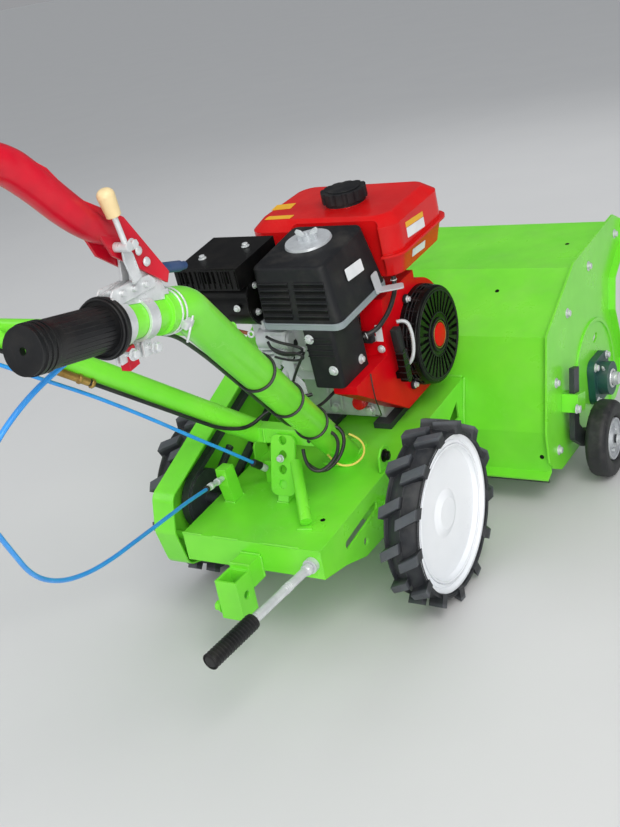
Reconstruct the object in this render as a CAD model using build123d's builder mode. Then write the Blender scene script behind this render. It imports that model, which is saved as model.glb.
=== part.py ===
from build123d import *
import math
import os

os.makedirs("parts", exist_ok=True)

# Frame: x to the machine's right, y forward, z up; the drive axle is over y = 0, ground at z = 0

# The saved pieces are moved back by this, so that the origin is the middle of the footprint
Y_MID = 31.0

# Running gap round shafts, and the seat gap between pieces that only touch
FIT = 0.05
SEAT = 0.3

# Drive wheels: chevron lugs on a narrow tyre round a dished disc
WHEEL_R = 150.0
LUG_H = 13.0
WHEEL_BODY_R = WHEEL_R - LUG_H
TYRE_DEEP = 9.0
RIM_R = WHEEL_BODY_R - TYRE_DEEP
TYRE_W = 62.0
TYRE_X = 223.0
LUG_COUNT = 13
LUG_W = 17.0
LUG_LEAN = 32.0
HUB_R = 28.0
AXLE_Z = 150.0
AXLE_R = 12.5

# Chassis: folded box of sheet that rises to the front
CH_X = 130.0
CH_REAR_Y = -215.0
CH_REAR_Z = 190.0
CH_FRONT_Y = 343.8
CH_FRONT_Z = 236.0
CH_DEEP = 49.0
SHEET = 4.0
SLOPE = math.degrees(math.atan2(CH_FRONT_Z - CH_REAR_Z, CH_FRONT_Y - CH_REAR_Y))

# Rear hitch
HITCH_S = 40.0
HITCH_WALL = 4.0
HITCH_Y = -271.0
HITCH_Z0 = 96.0
HITCH_Z1 = 163.0
HITCH_PIN_R = 7.0
HITCH_PIN_Z = 132.0

# Flail deck
DECK_X = 292.0
DECK_T = 3.5
ROTOR_Y = 583.0
ROTOR_Z = 140.0
ROTOR_TUBE_R = 38.0
ROTOR_SHAFT_R = 12.5
KNIFE_R = 108.0
CASE_X = 21.0
CASE_R = 35.0

# Gauge wheels
GAUGE_R = 73.0
GAUGE_W = 40.0
GAUGE_X = 352.0
GAUGE_Y = 455.0
GAUGE_HUB_R = 40.0
GAUGE_PIN_R = 8.0

# Engine, seated on the sloping plate: v runs forward along it, w is square to it
ENG_Y = 259.0
ENG_Z = 240.0
CRANK_V = 9.0
CRANK_H = 114.0
PTO_R = 10.0
RECOIL_X = 136.0
RECOIL_R = 86.0
SHROUD_X0 = 58.5
SHROUD_X1 = 102.5
TANK_X0, TANK_X1 = -158.0, 140.0
TANK_V0, TANK_V1 = -86.0, 131.0
TANK_W0, TANK_SEAM, TANK_W1 = 258.0, 295.0, 362.0
TANK_CROWN = 16.0
CAP_R = 40.0
CAP_W1 = TANK_W1 + 26.0
CAP_X, CAP_V = 4.0, 12.0
CAP_FLUTES = 12
AIR_X0, AIR_X1 = -47.0, 101.0
AIR_V0, AIR_V1 = -240.0, -72.0
AIR_W0, AIR_W1 = 252.0, 350.5
AIR_STRIP = 11.0
AIR_TIP = 1.5
AIR_RISE = -AIR_V0 * math.tan(math.radians(AIR_TIP))
AIR_BOX = (AIR_X0, AIR_X1, AIR_V0, AIR_V1)
MUF_X0, MUF_X1 = -184.0, -61.0
MUF_V0, MUF_V1 = -255.0, -130.0
MUF_W0, MUF_W1 = 316.0, 356.0
MUF_SLOTS = 11
CAN_R = 47.0
CAN_W = 279.0

# Handlebars: the right tube is the thick post, the left one is welded to a cross bar
FOOT = (45.0, 20.0, 240.0)
BEND = (226.0, -507.0, 688.0)
END = (245.0, -752.0, 736.0)
POST_R = 24.0
BAR_R = 20.0
GRIP_R = 23.5
FLANGE_R = 31.0
GRIP_LEN = 122.0
CROSS_Y, CROSS_Z = -49.0, 298.0
CROSS_S = 26.0

# Drive lever over each grip
LEVER_W = 24.0
LEVER_T = 3.0
BRACKET_W = LEVER_W - 2 * LEVER_T - 3.0
PIVOT_Y, PIVOT_Z = -574.0, 760.0
PIVOT_R = 4.0

# Belt guard on the left
GUARD_X0, GUARD_X1 = -182.0, -140.0
PULLEY_Y, PULLEY_Z = -106.0, 194.0
PULLEY_R, ENGINE_PULLEY_R = 54.0, 34.0

ca = math.cos(math.radians(SLOPE))
sa = math.sin(math.radians(SLOPE))


# Point of the engine's own frame (x, v, w) in the machine's frame
def eng(x, v, w):
    return (x, ENG_Y + ca * v - sa * w, ENG_Z + sa * v + ca * w)


# Engine planes: flat (normal up, tipped by lean), side (normal to the right)
def flat(w, v=0.0, lean=0.0):
    tip = math.radians(SLOPE + lean)
    return Plane(origin=eng(0, v, w), x_dir=(1, 0, 0), z_dir=(0, -math.sin(tip), math.cos(tip)))


def side(x):
    return Plane(origin=(x, ENG_Y, ENG_Z), x_dir=(0, ca, sa), z_dir=(1, 0, 0))


# Plane across the machine at x, drawn on in (y, z)
def upright(x):
    return Plane(origin=(x, 0, 0), x_dir=(0, 1, 0), z_dir=(1, 0, 0))


# Height of the chassis plate's upper face
def top_z(y):
    return CH_REAR_Z + (y - CH_REAR_Y) * (CH_FRONT_Z - CH_REAR_Z) / (CH_FRONT_Y - CH_REAR_Y)


# Round bar from a to b, added to or cut from the piece being built
def rod(a, b, radius, mode=Mode.ADD):
    run = Vector(*b) - Vector(*a)
    with BuildSketch(Plane(origin=a, z_dir=run)) as disc:
        Circle(radius)
    extrude(disc.sketch, amount=run.length, mode=mode)


# Plate across the machine: outline in (y, z) on the given plane, thick towards +x
def slab(plane, points, thick, mode=Mode.ADD):
    with BuildSketch(plane) as outline:
        with BuildLine():
            Polyline(*points, close=True)
        make_face()
    extrude(outline.sketch, amount=thick, mode=mode)


def along(a, b, t):
    return tuple(p + (q - p) * t for p, q in zip(a, b))


def mirrored(s, p):
    return (s * p[0], p[1], p[2])


def save(part, label):
    moved = part.moved(Location((0, -Y_MID, 0)))
    moved.label = label
    export_step(moved, "parts/" + label + ".step")


# Chassis: folded box of sheet, open below, closed by a rear plate
SIDE_PTS = [(CH_REAR_Y, CH_REAR_Z), (CH_FRONT_Y, CH_FRONT_Z), (317.6, 143.0), (317.6, 120.0), (160.0, 120.0),
            (90.0, 108.0), (-90.0, 108.0), (-150.0, 128.0), (CH_REAR_Y, CH_REAR_Z - CH_DEEP)]
with BuildPart() as chassis:
    for sx in (-CH_X, CH_X - SHEET):
        with BuildSketch(upright(sx)) as sk:
            with BuildLine():
                Polyline(*SIDE_PTS, close=True)
            make_face()
            with Locations((0, AXLE_Z)):
                Circle(18.0, mode=Mode.SUBTRACT)
            with Locations(Location((-88, 165, 0), (0, 0, 9))):
                SlotOverall(112, 15, mode=Mode.SUBTRACT)
            with Locations((-84, 132)):
                Circle(6.5, mode=Mode.SUBTRACT)
            with BuildLine():
                Polyline((240, 172), (304, 206), (304, 172), close=True)
            make_face(mode=Mode.SUBTRACT)
        extrude(amount=SHEET)
    slab(upright(-CH_X), [(CH_REAR_Y, CH_REAR_Z), (CH_FRONT_Y, CH_FRONT_Z), (CH_FRONT_Y - 1.3, CH_FRONT_Z - SHEET),
                          (CH_REAR_Y, CH_REAR_Z - SHEET)], 2 * CH_X)
    with BuildSketch(Plane.XY.offset(CH_REAR_Z - CH_DEEP)) as sk:
        with Locations((0, CH_REAR_Y + SHEET / 2)):
            Rectangle(2 * CH_X, SHEET)
    extrude(amount=CH_DEEP - 1.0)
save(chassis.part, "chassis")

# Rear hitch: drawbar tube and upright square socket
with BuildPart() as hitch:
    with BuildSketch(Plane.XY.offset(HITCH_Z0)) as sk:
        with Locations((0, HITCH_Y)):
            Rectangle(HITCH_S, HITCH_S)
            Rectangle(HITCH_S - 2 * HITCH_WALL, HITCH_S - 2 * HITCH_WALL, mode=Mode.SUBTRACT)
    extrude(amount=HITCH_Z1 - HITCH_Z0)
    with BuildSketch(Plane(origin=(0, HITCH_Y + HITCH_S / 2, 0), x_dir=(1, 0, 0), z_dir=(0, 1, 0))) as sk:
        with Locations((0, -150)):
            Rectangle(HITCH_S - 4, 40)
    extrude(amount=CH_REAR_Y - HITCH_Y - HITCH_S / 2)
    rod((-HITCH_S, HITCH_Y, HITCH_PIN_Z), (HITCH_S, HITCH_Y, HITCH_PIN_Z), HITCH_PIN_R, Mode.SUBTRACT)
save(hitch.part, "hitch_socket")

# Gearbox with its axle tubes, and the shaft of the large pulley
GEAR_Y0, GEAR_Y1 = -30.0, 145.0
with BuildPart() as gearbox:
    with BuildSketch(upright(-62)) as sk:
        with Locations((0, AXLE_Z)):
            Circle(38.0)
        with Locations(((GEAR_Y0 + GEAR_Y1) / 2, 158)):
            RectangleRounded(GEAR_Y1 - GEAR_Y0, 60, 12)
        with Locations((PULLEY_Y / 2 - 30, PULLEY_Z - 30)):
            Rectangle(-PULLEY_Y, 36)
    extrude(amount=124)
    rod((-CH_X + SHEET + 1, 0, AXLE_Z), (CH_X - SHEET - 1, 0, AXLE_Z), 26.0)
    rod((-160, 0, AXLE_Z), (160, 0, AXLE_Z), 17.0)
    rod((-170, 0, AXLE_Z), (170, 0, AXLE_Z), AXLE_R + FIT, Mode.SUBTRACT)
save(gearbox.part, "gearbox")


# Drive wheel pieces for the side given by s: carcass with a rounded tread, two rows of leaning lugs, disc
def build_wheel(s, tag):
    half = TYRE_W / 2 - 3
    with BuildPart() as tyre:
        with BuildSketch(Plane(origin=(s * TYRE_X, 0, AXLE_Z), x_dir=(1, 0, 0), z_dir=(0, -1, 0))) as sk:
            with BuildLine():
                Polyline((half - 4, WHEEL_BODY_R - 7), (half, RIM_R + 8), (half - 3, RIM_R + SEAT),
                         (3 - half, RIM_R + SEAT), (-half, RIM_R + 8), (4 - half, WHEEL_BODY_R - 7))
                ThreePointArc((4 - half, WHEEL_BODY_R - 7), (0, WHEEL_BODY_R), (half - 4, WHEEL_BODY_R - 7))
            make_face()
        revolve(axis=Axis((0, 0, AXLE_Z), (1, 0, 0)), revolution_arc=360)
        for row in (1, -1):
            for i in range(LUG_COUNT):
                turn = math.radians(360.0 * (i + (0.5 if row > 0 else 0.0)) / LUG_COUNT)
                out = Vector(0, math.sin(turn), math.cos(turn))
                foot = Vector(s * TYRE_X, 0, AXLE_Z) + out * (WHEEL_BODY_R - 12)
                with BuildSketch(Plane(origin=foot, x_dir=(row, 0, 0), z_dir=out)) as lug:
                    lean = math.tan(math.radians(LUG_LEAN)) * TYRE_W / 2
                    with BuildLine():
                        Polyline((-2, -LUG_W / 2), (TYRE_W / 2, lean - LUG_W / 2), (TYRE_W / 2, lean + LUG_W / 2),
                                 (-2, LUG_W / 2), close=True)
                    make_face()
                extrude(lug.sketch, amount=LUG_H + 16)
        with BuildSketch(upright(s * TYRE_X - TYRE_W / 2)) as ring:
            with Locations((0, AXLE_Z)):
                Circle(WHEEL_R)
                Circle(RIM_R + SEAT, mode=Mode.SUBTRACT)
        extrude(ring.sketch, amount=TYRE_W, mode=Mode.INTERSECT)
    save(tyre.part, "tyre_" + tag)
    face = TYRE_X + TYRE_W / 2 - 6
    with BuildPart() as rim:
        with BuildSketch(Plane(origin=(0, 0, AXLE_Z), x_dir=(s, 0, 0), z_dir=(0, -1, 0))) as sk:
            with BuildLine():
                Polyline((face - 50, RIM_R - 4), (face - 50, RIM_R), (face, RIM_R), (face, RIM_R - 5),
                         (face - 6, RIM_R - 9), (face - 3, RIM_R - 14), (face - 12, RIM_R - 22), (face - 14, 40),
                         (face - 9, 26), (face - 9, 0), (face - 60, 0), (face - 60, HUB_R), (face - 18, HUB_R),
                         (face - 18, RIM_R - 24), (face - 9, RIM_R - 12), (face - 10, RIM_R - 4), close=True)
            make_face()
        revolve(axis=Axis((0, 0, AXLE_Z), (1, 0, 0)), revolution_arc=360)
        rod((s * 80, 0, AXLE_Z), (s * (face - 20), 0, AXLE_Z), AXLE_R)
    save(rim.part, "rim_" + tag)


build_wheel(1, "right")
build_wheel(-1, "left")

# Engine mount rails on the plate
RAIL_H = 10.6
with BuildPart() as rails:
    with BuildSketch(flat(-RAIL_H)) as sk:
        with Locations((-50, -22), (60, -22)):
            Rectangle(34, 190)
    extrude(amount=RAIL_H)
save(rails.part, "engine_rails")

# Engine: crankcase, leaning finned cylinder, posts that carry the tank, carburettor and exhaust flange
CYL_X = -20.0
CYL_W, CYL_H = 86.0, 96.0
FINS = [16.0, 28.0, 40.0, 52.0, 64.0]
POST_H = AIR_W0 + AIR_RISE - AIR_STRIP - 152.0
with BuildPart() as block:
    slab(side(-92), [(-95, SEAT), (88, SEAT), (96, 60), (88, 150), (40, 186), (-60, 186), (-105, 120)], 150)
    cyl = Plane(origin=(CYL_X, ENG_Y - 60, ENG_Z + 118), x_dir=(1, 0, 0), z_dir=(0, -0.9, 0.436))
    with BuildSketch(cyl) as sk:
        RectangleRounded(CYL_W, CYL_H, 12)
    extrude(amount=84)
    for f in FINS:
        with BuildSketch(cyl.offset(f)) as sk:
            RectangleRounded(CYL_W + 8, CYL_H + 10, 14)
        extrude(amount=4)
    rod(eng(-120, CRANK_V, CRANK_H), eng(-90, CRANK_V, CRANK_H), 50)
    rod(eng(GUARD_X0 + 12, CRANK_V, CRANK_H), eng(-118, CRANK_V, CRANK_H), PTO_R)
    with BuildSketch(flat(150)) as sk:
        with Locations((-60, 20), (40, 20)):
            Rectangle(16, 60)
    extrude(amount=TANK_W0 - SEAT - 150)
    with BuildSketch(flat(AIR_W0 + AIR_RISE - AIR_STRIP - SEAT, 0, AIR_TIP)) as sk:
        with Locations((0, -148)):
            Rectangle(50, 114)
    extrude(amount=-POST_H)
    with BuildSketch(flat(150)) as sk:
        with Locations((-75, -158)):
            Rectangle(36, 96)
    extrude(amount=CAN_W - CAN_R + 2 - 150)
    with BuildSketch(side(MUF_X0)) as can_room:
        with Locations(((MUF_V0 + MUF_V1) / 2, CAN_W)):
            Circle(CAN_R + SEAT)
    extrude(can_room.sketch, amount=MUF_X1 - MUF_X0 + 20, mode=Mode.SUBTRACT)
save(block.part, "engine_block")

# Blower shroud: drum round the flywheel, and the duct that leads the air over the cylinder
DUCT_W = AIR_W0 - AIR_STRIP - 9.0
DUCT = [(10.0, 14.0), (-86.0, 16.0), (-236.0, 124.0), (-236.0, 138.0), (-122.0, 138.0), (-104.0, DUCT_W),
        (20.0, DUCT_W)]
with BuildPart() as shroud:
    with BuildSketch(side(SHROUD_X0)) as sk:
        with Locations((CRANK_V, CRANK_H)):
            Circle(RECOIL_R + 14)
        with BuildLine():
            Polyline(*DUCT, close=True)
        make_face()
    extrude(amount=SHROUD_X1 - SHROUD_X0)
save(shroud.part, "blower_shroud")

# Recoil starter cover: dished drum with radial slots in its face and windows round its side
RECOIL_SLOTS = 30
with BuildPart() as recoil:
    with BuildSketch(side(SHROUD_X1 + SEAT)) as sk:
        with Locations((CRANK_V, CRANK_H)):
            Circle(RECOIL_R + 4)
    extrude(amount=RECOIL_X - SHROUD_X1 - SEAT, taper=6)
    fillet(recoil.faces().sort_by(Axis.X)[-1].edges(), 5)
    with BuildSketch(side(RECOIL_X)) as sk:
        with Locations((CRANK_V, CRANK_H)):
            with PolarLocations(58, RECOIL_SLOTS):
                Rectangle(36, 6)
    extrude(amount=-5, mode=Mode.SUBTRACT)
    with BuildSketch(side(RECOIL_X)) as sk:
        with Locations((CRANK_V, CRANK_H)):
            Circle(31)
    extrude(amount=1.5)
    with BuildSketch(side(SHROUD_X1 + 8)) as sk:
        with Locations((CRANK_V, CRANK_H)):
            with PolarLocations(RECOIL_R + 2, 24):
                Rectangle(12, 12)
    extrude(amount=14, mode=Mode.SUBTRACT)
save(recoil.part, "recoil_cover")

# Starter handle in its bracket at the cover's rear
HANDLE_X, HANDLE_V, HANDLE_W = 121.0, -106.0, 112.0
with BuildPart() as pull:
    with BuildSketch(side(HANDLE_X - 7)) as sk:
        with Locations((HANDLE_V, HANDLE_W)):
            RectangleRounded(17, 62, 8)
    extrude(amount=14)
    with BuildSketch(side(SHROUD_X1 + SEAT)) as sk:
        with Locations((HANDLE_V + 4, HANDLE_W - 20)):
            Rectangle(10, 12)
    extrude(amount=HANDLE_X - SHROUD_X1)
save(pull.part, "recoil_handle")


# Rounded rectangle between two pairs of (x, v) limits, with the inset on all sides
def engine_box(x0, x1, v0, v1, inset, radius):
    with Locations(((x0 + x1) / 2, (v0 + v1) / 2)):
        RectangleRounded(x1 - x0 - 2 * inset, v1 - v0 - 2 * inset, radius)


# Fuel tank: two pressed shells and their seam, then the cap
TANK_BOX = (TANK_X0, TANK_X1, TANK_V0, TANK_V1)
TANK_SHOULDER = TANK_W1 - TANK_CROWN
with BuildPart() as tank:
    with BuildSketch(flat(TANK_W0)) as sk:
        engine_box(*TANK_BOX, 16, 30)
    with BuildSketch(flat(TANK_SEAM)) as sk2:
        engine_box(*TANK_BOX, 7, 34)
    loft()
    with BuildSketch(flat(TANK_SEAM)) as sk3:
        engine_box(*TANK_BOX, 0, 36)
    extrude(amount=4)
    with BuildSketch(flat(TANK_SEAM + 4)) as sk4:
        engine_box(*TANK_BOX, 7, 34)
    extrude(amount=TANK_SHOULDER - TANK_SEAM - 4)
    with BuildSketch(flat(TANK_SHOULDER)) as sk5:
        engine_box(*TANK_BOX, 7, 34)
    with BuildSketch(flat(TANK_W1)) as sk6:
        engine_box(*TANK_BOX, TANK_CROWN + 8, 30)
    loft()
    crown = tank.faces().sort_by(Axis.Z)[-1]
    fillet(crown.edges(), 9)
    with BuildSketch(flat(TANK_W0 - 2)) as sk7:
        with Locations(((AIR_X0 + AIR_X1) / 2 - 4, AIR_V1 + 4 - 50)):
            RectangleRounded(AIR_X1 - AIR_X0 + 20, 100, 10)
    extrude(amount=TANK_W1 - TANK_W0 + 4, mode=Mode.SUBTRACT)
save(tank.part, "fuel_tank")

with BuildPart() as cap:
    with BuildSketch(flat(TANK_W1 + SEAT)) as sk:
        with Locations((CAP_X, CAP_V)):
            Circle(CAP_R - 5)
    extrude(amount=7)
    with BuildSketch(flat(TANK_W1 + 7)) as sk:
        with Locations((CAP_X, CAP_V)):
            Circle(CAP_R)
            with PolarLocations(CAP_R + 3, CAP_FLUTES):
                Circle(6, mode=Mode.SUBTRACT)
    extrude(amount=CAP_W1 - TANK_W1 - 7)
save(cap.part, "fuel_cap")

# Air cleaner: tapered cover with a sloping top, nestled into the tank, on its pale base strip
AIR_LEAN = 5.7
with BuildPart() as acc:
    with BuildSketch(flat(AIR_W0 + AIR_RISE, 0, AIR_TIP)) as sk:
        engine_box(*AIR_BOX, 0, 14)
    with BuildSketch(flat(AIR_W1, (AIR_V0 + AIR_V1) / 2, AIR_LEAN)) as sk2:
        with Locations(((AIR_X0 + AIR_X1) / 2 - 10, 0)):
            RectangleRounded(AIR_X1 - AIR_X0 - 14, AIR_V1 - AIR_V0 - 20, 14)
    loft()
    fillet(acc.faces().sort_by(Axis.Z)[-1].edges(), 6)
save(acc.part, "air_cleaner_cover")

with BuildPart() as acb:
    with BuildSketch(flat(AIR_W0 + AIR_RISE - AIR_STRIP, 0, AIR_TIP)) as sk:
        engine_box(*AIR_BOX, -1.5, 14)
    extrude(amount=AIR_STRIP - SEAT)
save(acb.part, "air_cleaner_base")

NUT_X, NUT_D = 13.0, 14.0
NUT_PLANE = flat(AIR_W1 + SEAT, (AIR_V0 + AIR_V1) / 2, AIR_LEAN)
with BuildPart() as knob:
    with BuildSketch(NUT_PLANE) as sk:
        with Locations((NUT_X, NUT_D)):
            Circle(40)
    extrude(amount=4, taper=20)
    with BuildSketch(NUT_PLANE) as sk:
        with Locations((NUT_X, NUT_D)):
            Circle(8)
            Rectangle(34, 6)
    extrude(amount=12)
save(knob.part, "air_cleaner_nut")

# Muffler: round can under a louvred guard
with BuildPart() as muff:
    with BuildSketch(side(MUF_X0 + 4)) as sk:
        with Locations(((MUF_V0 + MUF_V1) / 2, CAN_W)):
            Circle(CAN_R)
    extrude(amount=MUF_X1 - MUF_X0 - 8)
    slab(side(MUF_X0), [(MUF_V0, MUF_W0), (MUF_V1, MUF_W0), (MUF_V1, MUF_W1 + 4), (MUF_V0, MUF_W1 - 4)],
         MUF_X1 - MUF_X0)
    for i in range(MUF_SLOTS):
        x = MUF_X0 + 12 + i * (MUF_X1 - MUF_X0 - 24) / MUF_SLOTS
        slab(side(x), [(MUF_V0 - 1, MUF_W0 + 12), (MUF_V0 + 4, MUF_W0 + 12), (MUF_V0 + 4, MUF_W1 - 7),
                       (MUF_V0 - 1, MUF_W1 - 7)], 5, Mode.SUBTRACT)
save(muff.part, "muffler")

# Black cover beside the carburettor, under the air cleaner
CARB_X0, CARB_X1 = 28.0, 84.0
with BuildPart() as carb:
    with BuildSketch(flat(138 + SEAT)) as sk:
        engine_box(CARB_X0, CARB_X1, -243, -150, 0, 8)
    extrude(amount=AIR_W0 - AIR_STRIP - SEAT - 138 - SEAT)
save(carb.part, "carb_cover")

# Belt guard: open pan whose rim faces the machine, from the engine pulley to the large pulley
GUARD = [(330.0, 420.0), (230.0, 440.0), (40.0, 352.0), (-208.0, 250.0), (-222.0, 190.0), (-206.0, 122.0),
         (-150.0, 104.0), (60.0, 165.0), (330.0, 290.0)]
GUARD_T = 3.0
with BuildPart() as guard:
    with BuildSketch(upright(GUARD_X0)) as outer:
        with BuildLine():
            Polyline(*GUARD, close=True)
        make_face()
        fillet(outer.vertices(), 22)
        with Locations((0, AXLE_Z)):
            Circle(22, mode=Mode.SUBTRACT)
    extrude(amount=GUARD_X1 - GUARD_X0)
    with BuildSketch(upright(GUARD_X0 + GUARD_T)) as inner:
        with BuildLine():
            Polyline(*GUARD, close=True)
        make_face()
        fillet(inner.vertices(), 22)
        offset(amount=-GUARD_T)
        with Locations((0, AXLE_Z)):
            Circle(25, mode=Mode.SUBTRACT)
    extrude(amount=GUARD_X1 - GUARD_X0, mode=Mode.SUBTRACT)
    for y, z in ((100, 201), (-185, 165)):
        rod((GUARD_X0 + 1, y, z), (-CH_X - SEAT, y, z), 7)
save(guard.part, "belt_guard")

# Pulleys and belt in the guard
BELT_X0, BELT_X1 = GUARD_X0 + 10, GUARD_X0 + 30
ENG_PULLEY = eng(BELT_X0, CRANK_V, CRANK_H)
with BuildPart() as belt:
    with BuildSketch(upright(BELT_X0 + 3)) as run:
        with Locations((ENG_PULLEY[1], ENG_PULLEY[2])):
            Circle(ENGINE_PULLEY_R)
        with Locations((PULLEY_Y, PULLEY_Z)):
            Circle(PULLEY_R)
        make_hull()
    with BuildSketch(upright(BELT_X0 + 3)) as gap:
        with Locations((ENG_PULLEY[1], ENG_PULLEY[2])):
            Circle(ENGINE_PULLEY_R - 8)
        with Locations((PULLEY_Y, PULLEY_Z)):
            Circle(PULLEY_R - 8)
        make_hull()
    extrude(run.sketch, amount=14)
    extrude(gap.sketch, amount=14, mode=Mode.SUBTRACT)
    rod((BELT_X0, PULLEY_Y, PULLEY_Z), (BELT_X1, PULLEY_Y, PULLEY_Z), PULLEY_R - 4)
    rod((BELT_X0, ENG_PULLEY[1], ENG_PULLEY[2]), (BELT_X1, ENG_PULLEY[1], ENG_PULLEY[2]), ENGINE_PULLEY_R - 4)
    rod((BELT_X0, ENG_PULLEY[1], ENG_PULLEY[2]), (BELT_X1, ENG_PULLEY[1], ENG_PULLEY[2]), PTO_R + FIT, Mode.SUBTRACT)
    rod((BELT_X0, PULLEY_Y, PULLEY_Z), (-CH_X - SEAT, PULLEY_Y, PULLEY_Z), 10)
save(belt.part, "belt_drive")

# Height plate with four holes, and the strut that braces it
PLATE_Y, PLATE_X, PLATE_T = -97.0, -2.0, 5.0
PLATE_W, PLATE_H = 46.0, 100.0
PLATE_N = Vector(0, -0.95, 0.312)
with BuildPart() as hplate:
    with BuildSketch(Plane(origin=(PLATE_X, PLATE_Y, top_z(PLATE_Y) + 2), x_dir=(1, 0, 0), z_dir=PLATE_N)) as sk:
        with Locations((0, PLATE_H / 2 + 7)):
            RectangleRounded(PLATE_W, PLATE_H, 12)
        with GridLocations(0, 24, 1, 4):
            with Locations((0, PLATE_H / 2 + 12)):
                Circle(7.5, mode=Mode.SUBTRACT)
    extrude(amount=PLATE_T)
    rod((PLATE_X + 20, PLATE_Y + 22, top_z(PLATE_Y) + 60), (76, -160, top_z(-160) + 10), 9.5)
    slab(upright(PLATE_X - 10), [(-104, top_z(-104) + SEAT), (-60, top_z(-60) + SEAT), (-72, 250), (-88, 232)], 20)
save(hplate.part, "height_plate")

# Deck hood: folded sheet over the rotor, with a slot for the drive case
HOOD = [(298.0, 59.0), (318.0, 66.0), (318.0, 143.0), (366.0, 309.0), (530.0, 384.0), (767.0, 402.0), (820.0, 372.0)]
with BuildPart() as hood:
    with BuildSketch(upright(-DECK_X)) as sk:
        with BuildLine():
            folds = Polyline(*HOOD)
            offset(folds, amount=DECK_T, side=Side.RIGHT)
        make_face()
    extrude(amount=2 * DECK_X)
    with BuildSketch(upright(-CASE_X - 3)) as sk:
        with Locations((330, 158)):
            Rectangle(60, 2 * CASE_R + 14)
    extrude(amount=2 * CASE_X + 6, mode=Mode.SUBTRACT)
save(hood.part, "deck_hood")

# Rubber flap inside the hood's rear wall
with BuildPart() as flap:
    slab(upright(-DECK_X + 8), [(322.0, 40.0), (326.0, 40.0), (326.0, 98.0), (322.0, 98.0)], 2 * DECK_X - 16)
save(flap.part, "rear_flap")

# Drive case from the gearbox to the middle of the rotor
with BuildPart() as case:
    with BuildSketch(upright(-CASE_X)) as sk:
        with Locations((ROTOR_Y, ROTOR_Z)):
            Circle(CASE_R)
        with Locations((GEAR_Y1 + SEAT + CASE_R - 8, 158)):
            Rectangle(2 * CASE_R - 16, 2 * CASE_R - 14)
        make_hull()
    extrude(amount=2 * CASE_X)
    rod((-CASE_X, ROTOR_Y, ROTOR_Z), (CASE_X, ROTOR_Y, ROTOR_Z), ROTOR_SHAFT_R + FIT, Mode.SUBTRACT)
save(case.part, "rotor_drive_case")

# Deck sides: plate with a folded front edge and a pressed arc round the bearing
SIDE = [(322.0, 70.0), (306.0, 90.0), (305.0, 146.0), (354.0, 316.0), (524.0, 396.0), (770.0, 415.0),
        (830.0, 388.0), (800.0, 350.0), (716.0, 300.0), (700.0, 240.0), (740.0, 120.0), (730.0, 60.0),
        (700.0, 46.0), (360.0, 50.0)]
FRONT_EDGE = SIDE[6:12]
BAR_TOP, BAR_FOOT = (428.0, 228.0), (404.0, 132.0)


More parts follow.
